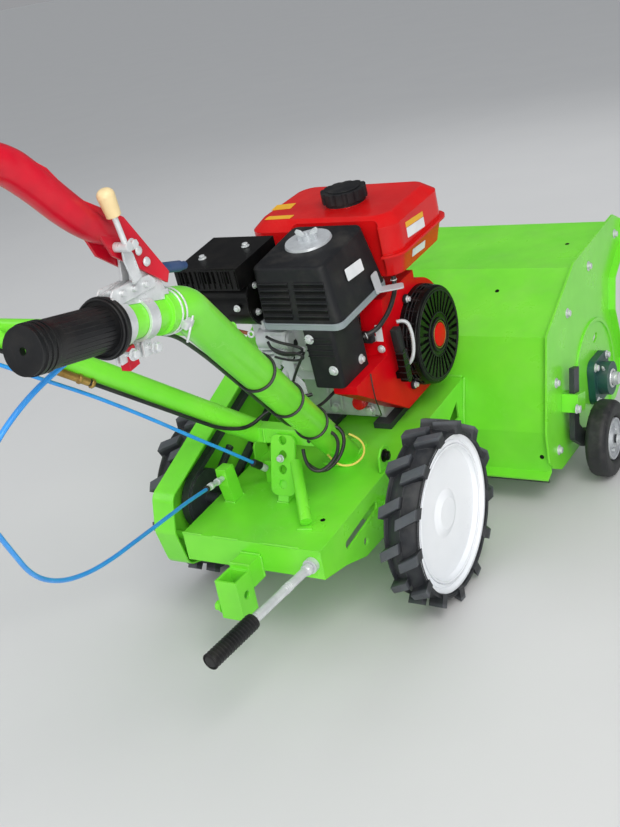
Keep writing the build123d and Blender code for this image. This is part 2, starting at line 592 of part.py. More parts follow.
# Pieces that stand off the deck's side given by s
def build_deck_end(s, tag):
    inner_x = DECK_X + SEAT
    outer_x = inner_x + SHEET
    lo = min(s * inner_x, s * outer_x)
    with BuildPart() as dside:
        with BuildSketch(upright(lo)) as sk:
            with BuildLine():
                Polyline(*SIDE, close=True)
            make_face()
            with Locations((ROTOR_Y, ROTOR_Z)):
                Circle(22, mode=Mode.SUBTRACT)
            with Locations(Location((ROTOR_Y + 20, 216, 0), (0, 0, 20))):
                SlotOverall(26, 13, mode=Mode.SUBTRACT)
        extrude(amount=SHEET)
        with BuildSketch(upright(min(s * outer_x, s * (outer_x + 3)))) as bead:
            with Locations((ROTOR_Y, ROTOR_Z)):
                Circle(118)
                Circle(111, mode=Mode.SUBTRACT)
            with BuildLine():
                Polyline((ROTOR_Y, ROTOR_Z), (ROTOR_Y - 200, ROTOR_Z - 60), (ROTOR_Y + 60, ROTOR_Z - 200), close=True)
            make_face(mode=Mode.SUBTRACT)
        extrude(bead.sketch, amount=3)
        with BuildSketch(upright(min(s * outer_x, s * (outer_x + 14)))) as lip:
            with BuildLine():
                edge = Polyline(*FRONT_EDGE)
                offset(edge, amount=3, side=Side.RIGHT)
            make_face()
        extrude(lip.sketch, amount=14)
    save(dside.part, "deck_side_" + tag)
    x1 = s * (outer_x + SEAT)
    with BuildPart() as bear:
        with BuildSketch(upright(min(x1, x1 + s * 14))) as sk:
            with Locations((ROTOR_Y, ROTOR_Z)):
                RectangleRounded(92, 92, 22)
        extrude(amount=14)
        rod((x1, ROTOR_Y, ROTOR_Z), (x1 + s * 34, ROTOR_Y, ROTOR_Z), 33)
        rod((x1, ROTOR_Y, ROTOR_Z), (x1 + s * 40, ROTOR_Y, ROTOR_Z), ROTOR_SHAFT_R + FIT, Mode.SUBTRACT)
    save(bear.part, "bearing_" + tag)
    slide = Vector(0, BAR_TOP[0] - BAR_FOOT[0], BAR_TOP[1] - BAR_FOOT[1]).normalized()
    clamp_at = Vector(x1, BAR_FOOT[0], BAR_FOOT[1]) + slide * 34
    bar_x = x1 + s * 11
    with BuildPart() as clamp:
        with BuildSketch(Plane(origin=clamp_at - slide * 17, x_dir=(s, 0, 0), z_dir=slide)) as sk:
            with Locations((15, 0)):
                Rectangle(30, 42)
            with Locations((16, 0)):
                Rectangle(10 + 2 * FIT, 26 + 2 * FIT, mode=Mode.SUBTRACT)
        extrude(amount=34)
    save(clamp.part, "gauge_clamp_" + tag)
    with BuildPart() as arm:
        with BuildSketch(Plane(origin=Vector(x1, BAR_FOOT[0], BAR_FOOT[1]), x_dir=(s, 0, 0), z_dir=slide)) as sk:
            with Locations((16, 0)):
                Rectangle(10, 26)
        extrude(amount=98)
        with BuildSketch(upright(min(bar_x, bar_x + s * 10))) as hook:
            with BuildLine():
                FilletPolyline((BAR_FOOT[0] - 12, BAR_FOOT[1] + 6), (BAR_FOOT[0] - 20, 100), (GAUGE_Y - 16, 60),
                               (GAUGE_Y + 14, 58), (GAUGE_Y + 14, 88), (GAUGE_Y - 14, 92), (BAR_FOOT[0] + 12, 118),
                               (BAR_FOOT[0] + 13, BAR_FOOT[1] + 6), radius=9)
                Line((BAR_FOOT[0] + 13, BAR_FOOT[1] + 6), (BAR_FOOT[0] - 12, BAR_FOOT[1] + 6))
            make_face()
        extrude(hook.sketch, amount=10)
        rod((bar_x, GAUGE_Y, GAUGE_R), (s * (GAUGE_X + GAUGE_W / 2 + 6), GAUGE_Y, GAUGE_R), GAUGE_PIN_R)
    save(arm.part, "gauge_arm_" + tag)
    with BuildPart() as gt:
        with BuildSketch(Plane(origin=(s * GAUGE_X, GAUGE_Y, GAUGE_R), x_dir=(1, 0, 0), z_dir=(0, -1, 0))) as sk:
            with Locations((0, (GAUGE_R + GAUGE_HUB_R) / 2)):
                RectangleRounded(GAUGE_W, GAUGE_R - GAUGE_HUB_R, 12)
        revolve(axis=Axis((0, GAUGE_Y, GAUGE_R), (1, 0, 0)), revolution_arc=360)
    save(gt.part, "gauge_tyre_" + tag)
    with BuildPart() as gh:
        hub = GAUGE_W / 2 - 3
        with BuildSketch(Plane(origin=(s * GAUGE_X, GAUGE_Y, GAUGE_R), x_dir=(1, 0, 0), z_dir=(0, -1, 0))) as sk:
            with BuildLine():
                Polyline((-hub, GAUGE_PIN_R + FIT), (-hub, 16), (-8, 22), (-8, GAUGE_HUB_R - 8),
                         (-hub, GAUGE_HUB_R - SEAT), (hub, GAUGE_HUB_R - SEAT), (8, GAUGE_HUB_R - 8), (8, 22),
                         (hub, 16), (hub, GAUGE_PIN_R + FIT), close=True)
            make_face()
        revolve(axis=Axis((0, GAUGE_Y, GAUGE_R), (1, 0, 0)), revolution_arc=360)
    save(gh.part, "gauge_hub_" + tag)


build_deck_end(1, "right")
build_deck_end(-1, "left")

# Flail rotor: two drums on one shaft, with pairs of knives that step round it
KNIFE_ROWS = 5
KNIFE_X0 = 50.0
KNIFE_STEP = (DECK_X - 30 - KNIFE_X0) / (KNIFE_ROWS - 1)
with BuildPart() as rotor:
    rod((-DECK_X - 52, ROTOR_Y, ROTOR_Z), (DECK_X + 52, ROTOR_Y, ROTOR_Z), ROTOR_SHAFT_R)
    for s in (1, -1):
        rod((s * (CASE_X + 6), ROTOR_Y, ROTOR_Z), (s * (DECK_X - 6), ROTOR_Y, ROTOR_Z), ROTOR_TUBE_R)
        for i in range(KNIFE_ROWS):
            xk = s * (KNIFE_X0 + i * KNIFE_STEP)
            with BuildSketch(upright(xk - 4)) as blades:
                with Locations((ROTOR_Y, ROTOR_Z)):
                    with PolarLocations((KNIFE_R + 30) / 2, 2, start_angle=i * 70 + 20 + 35 * s):
                        Rectangle(KNIFE_R - 30, 24)
            extrude(blades.sketch, amount=8)
            foot_turn = i * 70 + 20 + 35 * s
            with BuildSketch(upright(xk - 13)) as toes:
                with Locations((ROTOR_Y, ROTOR_Z)):
                    with PolarLocations(KNIFE_R - 6, 2, start_angle=foot_turn):
                        Rectangle(10, 24)
            extrude(toes.sketch, amount=26)
save(rotor.part, "flail_rotor")

# Handlebars: thick right post, left tube on the cross bar, thinner ends past the bend, thin brace
LEFT_FOOT = along((-FOOT[0], FOOT[1], FOOT[2]), (-BEND[0], BEND[1], BEND[2]), 0.13)
with BuildPart() as bars:
    for s, low_r, start in ((1, POST_R, along(BEND, FOOT, 1.14)), (-1, BAR_R, LEFT_FOOT)):
        with BuildLine() as way:
            FilletPolyline(start, mirrored(s, BEND), mirrored(s, along(BEND, END, 0.2)), radius=70)
        with BuildSketch(Plane(origin=way.line @ 0, z_dir=way.line % 0)) as ring:
            Circle(low_r)
        sweep(ring.sketch, path=way.line)
        rod(mirrored(s, along(BEND, END, 0.1)), mirrored(s, END), BAR_R)
    with BuildSketch(upright(LEFT_FOOT[0] - 6)) as sk:
        with Locations((CROSS_Y, CROSS_Z)):
            Rectangle(CROSS_S, CROSS_S)
    extrude(amount=70 - LEFT_FOOT[0])
    rod((-209, -408, 622), (209, -408, 622), 9)
    split(bisect_by=Plane(origin=(0, CH_REAR_Y, CH_REAR_Z + SEAT), z_dir=(0, -sa, ca)), keep=Keep.TOP)
    with BuildSketch(Plane(origin=(30, 56, top_z(56) + SEAT), x_dir=(1, 0, 0), z_dir=(0, -sa, ca))) as sk:
        RectangleRounded(58, 84, 16)
    extrude(amount=5)
save(bars.part, "handlebar")

# Grips, lever brackets and levers
GRIP_DIR = (Vector(*END) - Vector(*BEND)).normalized()
LEVER_TOP = [(-542.0, 739.0), (-590.0, 811.0), (-648.0, 847.0), (-674.0, 881.0), (-711.0, 908.0), (-768.0, 914.0)]
LEVER_LOW = [(-766.0, 894.0), (-720.0, 889.0), (-680.0, 854.0), (-634.0, 816.0), (-618.0, 780.0), (-548.0, 729.0)]
BRACKET = [(-628.0, 718.0), (-628.0, 744.0), (-596.0, 748.0), (-592.0, 773.0), (-574.0, 775.0), (-562.0, 760.0),
           (-545.0, 710.0)]
# Stop on the bracket's inner side that holds the cable's end
STOP = (203.0, -600.0, 700.0)


def build_controls(s, tag):
    turn = Vector(s * GRIP_DIR.X, GRIP_DIR.Y, GRIP_DIR.Z)
    foot = Vector(*mirrored(s, END)) - turn * (GRIP_LEN - 8)
    with BuildPart() as grip:
        with BuildSketch(Plane(origin=foot, z_dir=turn)) as sk:
            Circle(GRIP_R)
        extrude(amount=GRIP_LEN)
        with BuildSketch(Plane(origin=foot, z_dir=turn)) as sk:
            Circle(FLANGE_R)
        extrude(amount=7)
        for d in (GRIP_LEN - 10, GRIP_LEN - 17, GRIP_LEN - 24):
            with BuildSketch(Plane(origin=foot + turn * d, z_dir=turn)) as sk:
                Circle(GRIP_R + 1.5)
            extrude(amount=4)
        with BuildSketch(Plane(origin=foot, z_dir=turn)) as sk:
            Circle(BAR_R + SEAT)
        extrude(amount=GRIP_LEN - 8 + SEAT, mode=Mode.SUBTRACT)
        with BuildSketch(Plane(origin=foot, z_dir=turn)) as sk:
            Circle(4)
        extrude(amount=GRIP_LEN, mode=Mode.SUBTRACT)
    save(grip.part, "grip_" + tag)
    mid_x = s * 236.0
    with BuildPart() as bracket:
        for t in (0.30, 0.46):
            with BuildSketch(Plane(origin=mirrored(s, along(BEND, END, t)), z_dir=turn)) as sk:
                Circle(BAR_R + 3.5)
            extrude(amount=16)
        for x in (mid_x - BRACKET_W / 2, mid_x + BRACKET_W / 2 - 3):
            slab(upright(x), BRACKET, 3)
        slab(upright(mid_x - BRACKET_W / 2), [(-628, 718), (-628, 734), (-545, 722), (-545, 708)], BRACKET_W)
        slab(upright(s * STOP[0] - 7), [(STOP[1], 694), (STOP[1], 706), (STOP[1] + 15, 706),
                                        (STOP[1] + 15, 694)], 14)
        rod((mid_x - LEVER_W / 2 - 3, PIVOT_Y, PIVOT_Z), (mid_x + LEVER_W / 2 + 3, PIVOT_Y, PIVOT_Z), PIVOT_R)
        rod(mirrored(s, along(BEND, END, 0.15)), mirrored(s, along(BEND, END, 0.7)), BAR_R + SEAT, Mode.SUBTRACT)
        rod(mirrored(s, BEND), mirrored(s, along(BEND, END, 0.205)), POST_R + SEAT, Mode.SUBTRACT)
    save(bracket.part, "lever_bracket_" + tag)
    with BuildPart() as lever:
        slab(upright(mid_x - LEVER_W / 2), LEVER_TOP + LEVER_LOW, LEVER_W)
        hollow = [(y, z - 1.35 * LEVER_T) for y, z in LEVER_TOP]
        below = [(-772.0, 852.0), (-720.0, 842.0), (-640.0, 772.0), (-560.0, 700.0), (-530.0, 700.0)]
        slab(upright(mid_x - LEVER_W / 2 + LEVER_T), hollow + below, LEVER_W - 2 * LEVER_T, Mode.SUBTRACT)
        rod((mid_x - 40, PIVOT_Y, PIVOT_Z), (mid_x + 40, PIVOT_Y, PIVOT_Z), PIVOT_R + FIT, Mode.SUBTRACT)
    save(lever.part, "lever_" + tag)


build_controls(1, "right")
build_controls(-1, "left")

# Catch with a pale knob beside the right lever
KNOB_X = 262.0
KNOB_ROD = ((KNOB_X, -612, 787), (KNOB_X, -619, 822))
with BuildPart() as catch:
    rod((236.0 + LEVER_W / 2 + SEAT, *KNOB_ROD[0][1:]), (KNOB_X + 4, *KNOB_ROD[0][1:]), 5)
    rod(*KNOB_ROD, 3)
save(catch.part, "lever_rod")
with BuildPart() as ball:
    with BuildSketch(Plane(origin=along(*KNOB_ROD, 0.94), x_dir=(1, 0, 0),
                           z_dir=Vector(*KNOB_ROD[1]) - Vector(*KNOB_ROD[0]))) as sk:
        Circle(7.5)
    extrude(amount=28, taper=-4)
    fillet(ball.faces().sort_by(Axis.Z)[-1].edges(), 7)
    rod(KNOB_ROD[0], along(*KNOB_ROD, 1.003), 3 + FIT, Mode.SUBTRACT)
save(ball.part, "lever_knob")

# Shift rod with its grip, out of the rear plate
SHIFT_DIR = Vector(-0.09, -1, -0.04).normalized()
SHIFT_FROM = Vector(113, CH_REAR_Y - SEAT, 167)
with BuildPart() as srod:
    with BuildSketch(Plane(origin=SHIFT_FROM, z_dir=SHIFT_DIR)) as sk:
        Circle(7)
    extrude(amount=150)
    with BuildSketch(Plane(origin=(113, CH_REAR_Y - SEAT, 167), z_dir=(0, -1, 0))) as sk:
        Circle(12)
    extrude(amount=10)
save(srod.part, "shift_rod")
with BuildPart() as sgrip:
    with BuildSketch(Plane(origin=SHIFT_FROM + SHIFT_DIR * (150 + SEAT), z_dir=SHIFT_DIR)) as sk:
        Circle(12)
    extrude(amount=98)
    fillet(sgrip.faces().sort_by(Axis.Y)[0].edges(), 6)
save(sgrip.part, "shift_grip")

# Red stop switch under the right bracket
with BuildPart() as switch:
    slab(upright(229), [(-627, 662), (-611, 664), (-613, 686), (-625, 686)], 12)
save(switch.part, "engine_switch")


# Tube along straight runs joined by tangent arcs, each as large as its two runs allow
def cable(points, radius):
    radii = []
    for a, b, c in zip(points, points[1:], points[2:]):
        first = Vector(*b) - Vector(*a)
        second = Vector(*c) - Vector(*b)
        half_turn = math.radians(first.get_angle(second) / 2)
        radii.append(0.45 * min(first.length, second.length) / math.tan(half_turn))
    with BuildLine() as way:
        FilletPolyline(*points, radius=radii)
    with BuildSketch(Plane(origin=way.line @ 0, z_dir=way.line % 0)) as ring:
        Circle(radius)
    sweep(ring.sketch, path=way.line)
    length = sum(edge.length for edge in way.line.edges())
    print("cable radius", radius, "length", round(length), "least arc", round(min(radii)))
    return math.pi * radius ** 2 * length


# Blue clutch cables: from the stop on each lever bracket to the lug on the plate and to the tension arm
CABLE_R = 3.0
BLUE_RIGHT = [(203, -600.9, 700), (201, -668, 690), (190, -732, 670), (166, -776, 627), (142, -775, 562),
              (118, -739, 500), (92, -702, 442), (67, -649, 398), (45, -586, 367), (23, -519, 345),
              (1, -451, 328), (-22, -383, 310), (-44, -316, 293), (-66, -248, 276), (-88, -180, 256)]
BLUE_LEFT = [(-203, -582.4, 699), (-205, -541, 663), (-197, -482, 614), (-186, -425, 570), (-171, -370, 524),
             (-152, -316, 480), (-131, -266, 434), (-111, -216, 386), (-94, -167, 338), (-79, -119, 294),
             (-64, -74, 250)]
for points, label in ((BLUE_RIGHT, "blue_cable_right"), (BLUE_LEFT, "blue_cable_left")):
    with BuildPart() as blue:
        volume = cable(points, CABLE_R)
    print(label, "volume over section x length", round(blue.part.volume / volume, 3))
    save(blue.part, label)

# Ferrule and clevis lug that take the right cable, sleeve and lug that take the left one
LUG_R = (-100.0, -107.0)
LUG_L = (-58.0, -50.0)
with BuildPart() as ferrules:
    rod((-88.3, -178.9, 255.7), (-96, -128, 247), 4.5)
    rod((-63.9, -73.7, 249.7), (-58, -57, 233), 6)
save(ferrules.part, "cable_ferrules")
with BuildPart() as lugs:
    slab(upright(LUG_R[0] - 8), [(LUG_R[1] - 12, top_z(LUG_R[1] - 12) + SEAT), (LUG_R[1] + 14, top_z(LUG_R[1] + 14) + SEAT),
                                 (LUG_R[1] + 4, 262), (LUG_R[1] - 19.5, 262), (LUG_R[1] - 19.5, 232)], 20)
    slab(upright(LUG_L[0] - 7), [(LUG_L[1] - 2, top_z(LUG_L[1] - 2) + SEAT), (LUG_L[1] + 16, top_z(LUG_L[1] + 16) + SEAT),
                                 (LUG_L[1] + 12, 242), (LUG_L[1] + 2, 242)], 14)
save(lugs.part, "cable_lugs")

# Black throttle cable: under the left tube, thick at its brass adjuster, over the cross bar to the carburettor
THROTTLE_R = 3.2


# Point beside the tube from a to b, gap from its axis on the side that way points to
def beside(a, b, t, way, gap):
    axis = (Vector(*b) - Vector(*a)).normalized()
    out = Vector(*way) - axis * axis.dot(Vector(*way))
    p = Vector(*along(a, b, t)) + out.normalized() * gap
    return (p.X, p.Y, p.Z)


UNDER = (0.6, 0.0, -0.8)
TUBE_LEFT = (mirrored(-1, BEND), LEFT_FOOT)
HELD = BAR_R + THROTTLE_R + 2.5
THROTTLE = [beside(*TUBE_LEFT, 0.10, UNDER, HELD), beside(*TUBE_LEFT, 0.86, UNDER, HELD), (-52, -88, 322),
            (-34, -48, 338), (-2, -14, 344), (20, 6, 345)]
with BuildPart() as throttle:
    cable(THROTTLE, THROTTLE_R)
    rod(beside(*TUBE_LEFT, 0.30, UNDER, HELD), beside(*TUBE_LEFT, 0.46, UNDER, HELD), 5.5)
save(throttle.part, "throttle_cable")

# Black switch wire: from the switch along the inner side of the right post to the engine
WIRE_R = 2.6
INNER = (-0.7, 0.0, -0.7)
WIRE_HELD = POST_R + WIRE_R + 0.5
SWITCH_WIRE = [(226, -619, 674), (217, -604, 662), beside(BEND, END, 0.16, INNER, WIRE_HELD + 4),
               beside(BEND, FOOT, 0.06, INNER, WIRE_HELD + 4), beside(BEND, FOOT, 0.18, INNER, WIRE_HELD), beside(BEND, FOOT, 0.68, INNER, WIRE_HELD),
               beside(BEND, FOOT, 0.80, (-1.0, 0.0, 0.1), WIRE_HELD + 8), (42, -38, 338), (44, -4, 334), (53, 24, 344)]
with BuildPart() as wire:
    cable(SWITCH_WIRE, WIRE_R)
save(wire.part, "switch_wire")

# Fuel hose from the tank's underside to the carburettor cover
HOSE = [eng(112, -66, TANK_W0 - 1), eng(114, -72, 236), eng(114, -104, 212), eng(106, -140, 196), eng(87.5, -160, 190)]
with BuildPart() as hose:
    cable(HOSE, 4)
save(hose.part, "fuel_hose")
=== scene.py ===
import logging
import math
from dataclasses import dataclass, field
from enum import Enum
from functools import cache
from typing import Callable, ClassVar, Iterable, Sequence

import bmesh
import bpy
from mathutils import Matrix, Vector


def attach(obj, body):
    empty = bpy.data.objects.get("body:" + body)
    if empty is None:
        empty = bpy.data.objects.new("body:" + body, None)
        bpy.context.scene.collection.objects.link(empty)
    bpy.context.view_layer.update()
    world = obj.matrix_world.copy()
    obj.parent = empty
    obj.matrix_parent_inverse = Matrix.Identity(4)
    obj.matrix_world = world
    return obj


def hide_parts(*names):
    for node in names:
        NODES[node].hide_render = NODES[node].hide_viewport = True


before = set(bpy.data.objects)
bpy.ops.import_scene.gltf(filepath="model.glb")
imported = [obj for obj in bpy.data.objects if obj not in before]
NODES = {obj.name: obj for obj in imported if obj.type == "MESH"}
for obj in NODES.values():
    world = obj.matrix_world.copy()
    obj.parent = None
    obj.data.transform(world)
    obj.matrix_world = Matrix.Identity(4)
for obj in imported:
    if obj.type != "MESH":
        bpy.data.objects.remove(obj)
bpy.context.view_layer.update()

LOG = logging.getLogger("weeder")

Point = tuple[float, float, float]
Colour = tuple[float, float, float]
Piece = bpy.types.Object
Socket = bpy.types.NodeSocket
Value = Socket | Colour | float
# A place for a copy: point in machine millimetres, direction of its z axis, degrees about it
Mount = tuple[Point, Sequence[float], float]
# Picks faces by their centre and normal
Test = Callable[[Vector, Vector], bool]

# The drive axle lies this far behind the record frame's origin, in millimetres
AXLE_BACK = 31.0
# Slope of the engine's base, and its origin in (y, z), machine millimetres
SLOPE = math.radians(4.707)
ENGINE_SEAT = (259.0, 240.0)
# The right handlebar tube: foot on the chassis, bend and end of its grip
FOOT, BEND, END = (45.0, 20.0, 240.0), (226.0, -507.0, 688.0), (245.0, -752.0, 736.0)
RIGHT, LEFT, BACK, UP = (1, 0, 0), (-1, 0, 0), (0, -1, 0), (0, 0, 1)


def at(x: float, y: float, z: float) -> Vector:
    """Gives the scene point for machine millimetres: right, ahead of the drive axle and up."""
    return Vector((x, y - AXLE_BACK, z)) / 1000.0


def engine_way(x: float, v: float, w: float) -> Point:
    """Turns a direction of the engine's own sloping base into one of the machine."""
    return (x, math.cos(SLOPE) * v - math.sin(SLOPE) * w, math.sin(SLOPE) * v + math.cos(SLOPE) * w)


def on_engine(x: float, v: float, w: float) -> Point:
    """Gives the machine millimetres for a point of the engine's base."""
    _, ahead, up = engine_way(x, v, w)
    return (x, ENGINE_SEAT[0] + ahead, ENGINE_SEAT[1] + up)


def between(a: Sequence[float], b: Sequence[float], t: float) -> Point:
    """Gives the point at share t of the way from a to b."""
    return tuple(p + (q - p) * t for p, q in zip(a, b))


def paint(red: int, green: int, blue: int) -> Colour:
    """Turns an 8-bit sRGB colour into the linear one that the shader takes."""
    return tuple(c / 12.92 if c <= 0.04045 else ((c + 0.055) / 1.055) ** 2.4
                 for c in (red / 255.0, green / 255.0, blue / 255.0))


class Side(Enum):
    """The two hands of the machine."""

    RIGHT = 1
    LEFT = -1

    @property
    def tag(self) -> str:
        """Gives the ending of this side's node names."""
        return self.name.lower()


class Graph:
    """Short steps for building one node tree."""

    def __init__(self, tree: bpy.types.NodeTree) -> None:
        """Takes the tree that the steps work on."""
        self.tree = tree

    def feed(self, socket: Socket, value: Value) -> None:
        """Links a socket to the input, or sets a number or a colour there."""
        if isinstance(value, Socket):
            self.tree.links.new(value, socket)
        else:
            socket.default_value = (*value, 1.0) if isinstance(value, tuple) else value

    def fill(self, node: bpy.types.Node, **inputs: Value) -> None:
        """Feeds a node's named inputs, with _ for the spaces in their names."""
        for label, value in inputs.items():
            self.feed(node.inputs[label.replace("_", " ")], value)

    def node(self, kind: str, **inputs: Value) -> bpy.types.Node:
        """Adds a shader node and feeds its named inputs."""
        node = self.tree.nodes.new("ShaderNode" + kind)
        self.fill(node, **inputs)
        return node

    def given(self, label: str) -> Socket:
        """Gives one of the group's own inputs."""
        return self.tree.nodes["in"].outputs[label]

    def effect(self, group: bpy.types.NodeTree, **values: float) -> bpy.types.NodeOutputs:
        """Places a shared group with its own values and gives its outputs."""
        node = self.node("Group")
        node.node_tree = group
        self.fill(node, **values)
        return node.outputs

    def noise(self, scale: Value, detail: float, rough: float = 0.55) -> Socket:
        """Adds a noise texture on object coordinates."""
        place = self.node("TexCoord").outputs["Object"]
        return self.node("TexNoise", Vector=place, Scale=scale, Detail=detail,
                         Roughness=rough).outputs["Fac"]

    def remap(self, value: Value, low: float, high: float, to_low: float = 0.0,
              to_high: float = 1.0) -> Socket:
        """Maps the range from low to high to another one."""
        return self.node("MapRange", Value=value, From_Min=low, From_Max=high, To_Min=to_low,
                         To_Max=to_high).outputs["Result"]

    def split(self, vector: Socket) -> bpy.types.NodeOutputs:
        """Gives the X, Y and Z of a vector."""
        return self.node("SeparateXYZ", Vector=vector).outputs

    def maths(self, operation: str, *values: Value, kind: str = "Math") -> Socket:
        """Adds a Math node, or a VectorMath one, and gives its value."""
        node = self.node(kind)
        node.operation = operation
        for socket, value in zip(node.inputs, values):
            self.feed(socket, value)
        return node.outputs["Value"]

    def product(self, first: Value, *others: Value) -> Socket:
        """Multiplies the values."""
        for other in others:
            first = self.maths("MULTIPLY", first, other)
        return first

    def mixed(self, share: Value, first: Value, second: Value) -> Socket:
        """Mixes two colours."""
        node = self.node("Mix")
        node.data_type = "RGBA"
        for index, value in zip((0, 6, 7), (share, first, second)):
            self.feed(node.inputs[index], value)
        return node.outputs[2]

    def blend(self, share: Socket, first: bpy.types.Node, second: bpy.types.Node) -> bpy.types.Node:
        """Mixes the shaders of two nodes."""
        node = self.node("MixShader", Fac=share)
        self.feed(node.inputs[1], first.outputs[0])
        self.feed(node.inputs[2], second.outputs[0])
        return node


class Effects:
    """Shader groups that several finishes share, each built once."""

    @staticmethod
    def start(name: str, outputs: Sequence[str], **inputs: float) -> Graph:
        """Opens a group.

        Args:
            name: The group's name.
            outputs: Names of the outputs: a vector where it is Normal, else a float.
            inputs: Names of the float inputs and their first values.

        Returns:
            The group's graph with its input and output nodes.
        """
        tree = bpy.data.node_groups.new(name, "ShaderNodeTree")
        for label, value in inputs.items():
            socket = tree.interface.new_socket(label, in_out="INPUT", socket_type="NodeSocketFloat")
            socket.default_value = value
        for label in outputs:
            kind = "NodeSocketVector" if label == "Normal" else "NodeSocketFloat"
            tree.interface.new_socket(label, in_out="OUTPUT", socket_type=kind)
        tree.nodes.new("NodeGroupInput").name = "in"
        tree.nodes.new("NodeGroupOutput").name = "out"
        return Graph(tree)

    @staticmethod
    def close(graph: Graph, **outputs: Socket) -> bpy.types.NodeTree:
        """Links the group's outputs and gives its tree."""
        graph.fill(graph.tree.nodes["out"], **outputs)
        return graph.tree

    @staticmethod
    @cache
    def grain() -> bpy.types.NodeTree:
        """Fine surface height with a broad change of tone."""
        graph = Effects.start("grain", ("Height", "Tone"), Fine=900.0, Broad=14.0)
        fine, broad = graph.noise(graph.given("Fine"), 4.0), graph.noise(graph.given("Broad"), 3.0)
        return Effects.close(graph, Height=fine, Tone=graph.remap(broad, 0.32, 0.68))

    @staticmethod
    @cache
    def dust() -> bpy.types.NodeTree:
        """Patchy dust that gathers on faces that look up."""
        graph = Effects.start("dust", ("Mask",), Scale=22.0, Amount=0.3)
        patches = graph.remap(graph.noise(graph.given("Scale"), 6.0, 0.65), 0.45, 0.75)
        rise = graph.split(graph.node("NewGeometry").outputs["Normal"])["Z"]
        upward = graph.remap(rise, -0.6, 1.0, 0.25)
        return Effects.close(graph, Mask=graph.product(patches, upward, graph.given("Amount")))

    @staticmethod
    @cache
    def scuffs() -> bpy.types.NodeTree:
        """Sparse short scratches."""
        graph = Effects.start("scuffs", ("Mask",), Scale=40.0, Amount=0.5)
        waves = graph.node("TexWave", Vector=graph.node("TexCoord").outputs["Object"],
                           Scale=graph.given("Scale"), Distortion=18.0, Detail=4.0)
        waves.wave_type, waves.bands_direction = "BANDS", "DIAGONAL"
        thin = graph.remap(waves.outputs["Fac"], 0.965, 1.0)
        gate = graph.remap(graph.noise(9.0, 2.0), 0.58, 0.7)
        return Effects.close(graph, Mask=graph.product(thin, gate, graph.given("Amount")))

    @staticmethod
    @cache
    def round_edge() -> bpy.types.NodeTree:
        """Softened edges and a mask where they lie."""
        graph = Effects.start("round_edge", ("Normal", "Mask"), Radius=0.001)
        soft = graph.node("Bevel", Radius=graph.given("Radius"))
        soft.samples = 4
        face = graph.node("NewGeometry").outputs["Normal"]
        turned = graph.maths("DOT_PRODUCT", soft.outputs["Normal"], face, kind="VectorMath")
        return Effects.close(graph, Normal=soft.outputs["Normal"],
                             Mask=graph.remap(turned, 0.995, 0.85))


@dataclass(frozen=True)
class Finish:
    """One surface finish, with its colours in 8-bit sRGB.

    Attributes:
        slot: The record's material slot, or the finish's own name.
        base: Main colour.
        shade: Second colour of the broad tone.
        rough: Roughness.
        change: Change of the roughness with the broad tone.
        fine: Scale of the fine grain.
        bump: Height of the fine grain in metres.
        metal: Metallic share.
        coat: Clear coat weight.
        broad: Scale of the broad tone.
        dusty: Share of dust.
        dust: Colour of the dust.
        worn: Share of scratches and worn edges.
        wear: Colour of scratches and worn edges.
        edge: Radius of the softened edges in metres.
        specular: Strength of the mirrored light.
    """

    slot: str
    base: tuple[int, int, int]
    shade: tuple[int, int, int]
    rough: float = 0.4
    change: float = 0.1
    fine: float = 700.0
    bump: float = 0.0001
    metal: float = 0.0
    coat: float = 0.0
    broad: float = 14.0
    dusty: float = 0.15
    dust: tuple[int, int, int] = (150, 142, 128)
    worn: float = 0.1
    wear: tuple[int, int, int] = (200, 205, 200)
    edge: float = 0.0008
    specular: float = 0.5

    def colour(self, graph: Graph, tone: Socket) -> Socket:
        """Gives the colour before dust and wear."""
        return graph.mixed(tone, paint(*self.base), paint(*self.shade))

    def build(self) -> bpy.types.Material:
        """Builds the node material, named after the slot."""
        material = bpy.data.materials.new(self.slot)
        material.use_nodes = True
        graph = Graph(material.node_tree)
        grain = graph.effect(Effects.grain(), Fine=self.fine, Broad=self.broad)
        dust = graph.effect(Effects.dust(), Scale=self.broad * 1.7, Amount=self.dusty)["Mask"]
        scuffs = graph.effect(Effects.scuffs(), Scale=self.broad * 3.0, Amount=self.worn)["Mask"]
        edges = graph.effect(Effects.round_edge(), Radius=self.edge)
        bare = graph.maths("MAXIMUM", graph.product(edges["Mask"], self.worn), scuffs)
        colour = graph.mixed(bare, self.colour(graph, grain["Tone"]), paint(*self.wear))
        rough = graph.maths("ADD", graph.product(grain["Tone"], self.change),
                            graph.product(dust, 0.5))
        bump = graph.node("Bump", Distance=self.bump, Height=grain["Height"],
                          Normal=edges["Normal"])
        graph.fill(graph.tree.nodes["Principled BSDF"], Normal=bump.outputs["Normal"],
                   Base_Color=graph.mixed(dust, colour, paint(*self.dust)),
                   Roughness=graph.maths("ADD", rough, self.rough), Metallic=self.metal,
                   Coat_Weight=self.coat, Coat_Roughness=0.08, Specular_IOR_Level=self.specular)
        return material


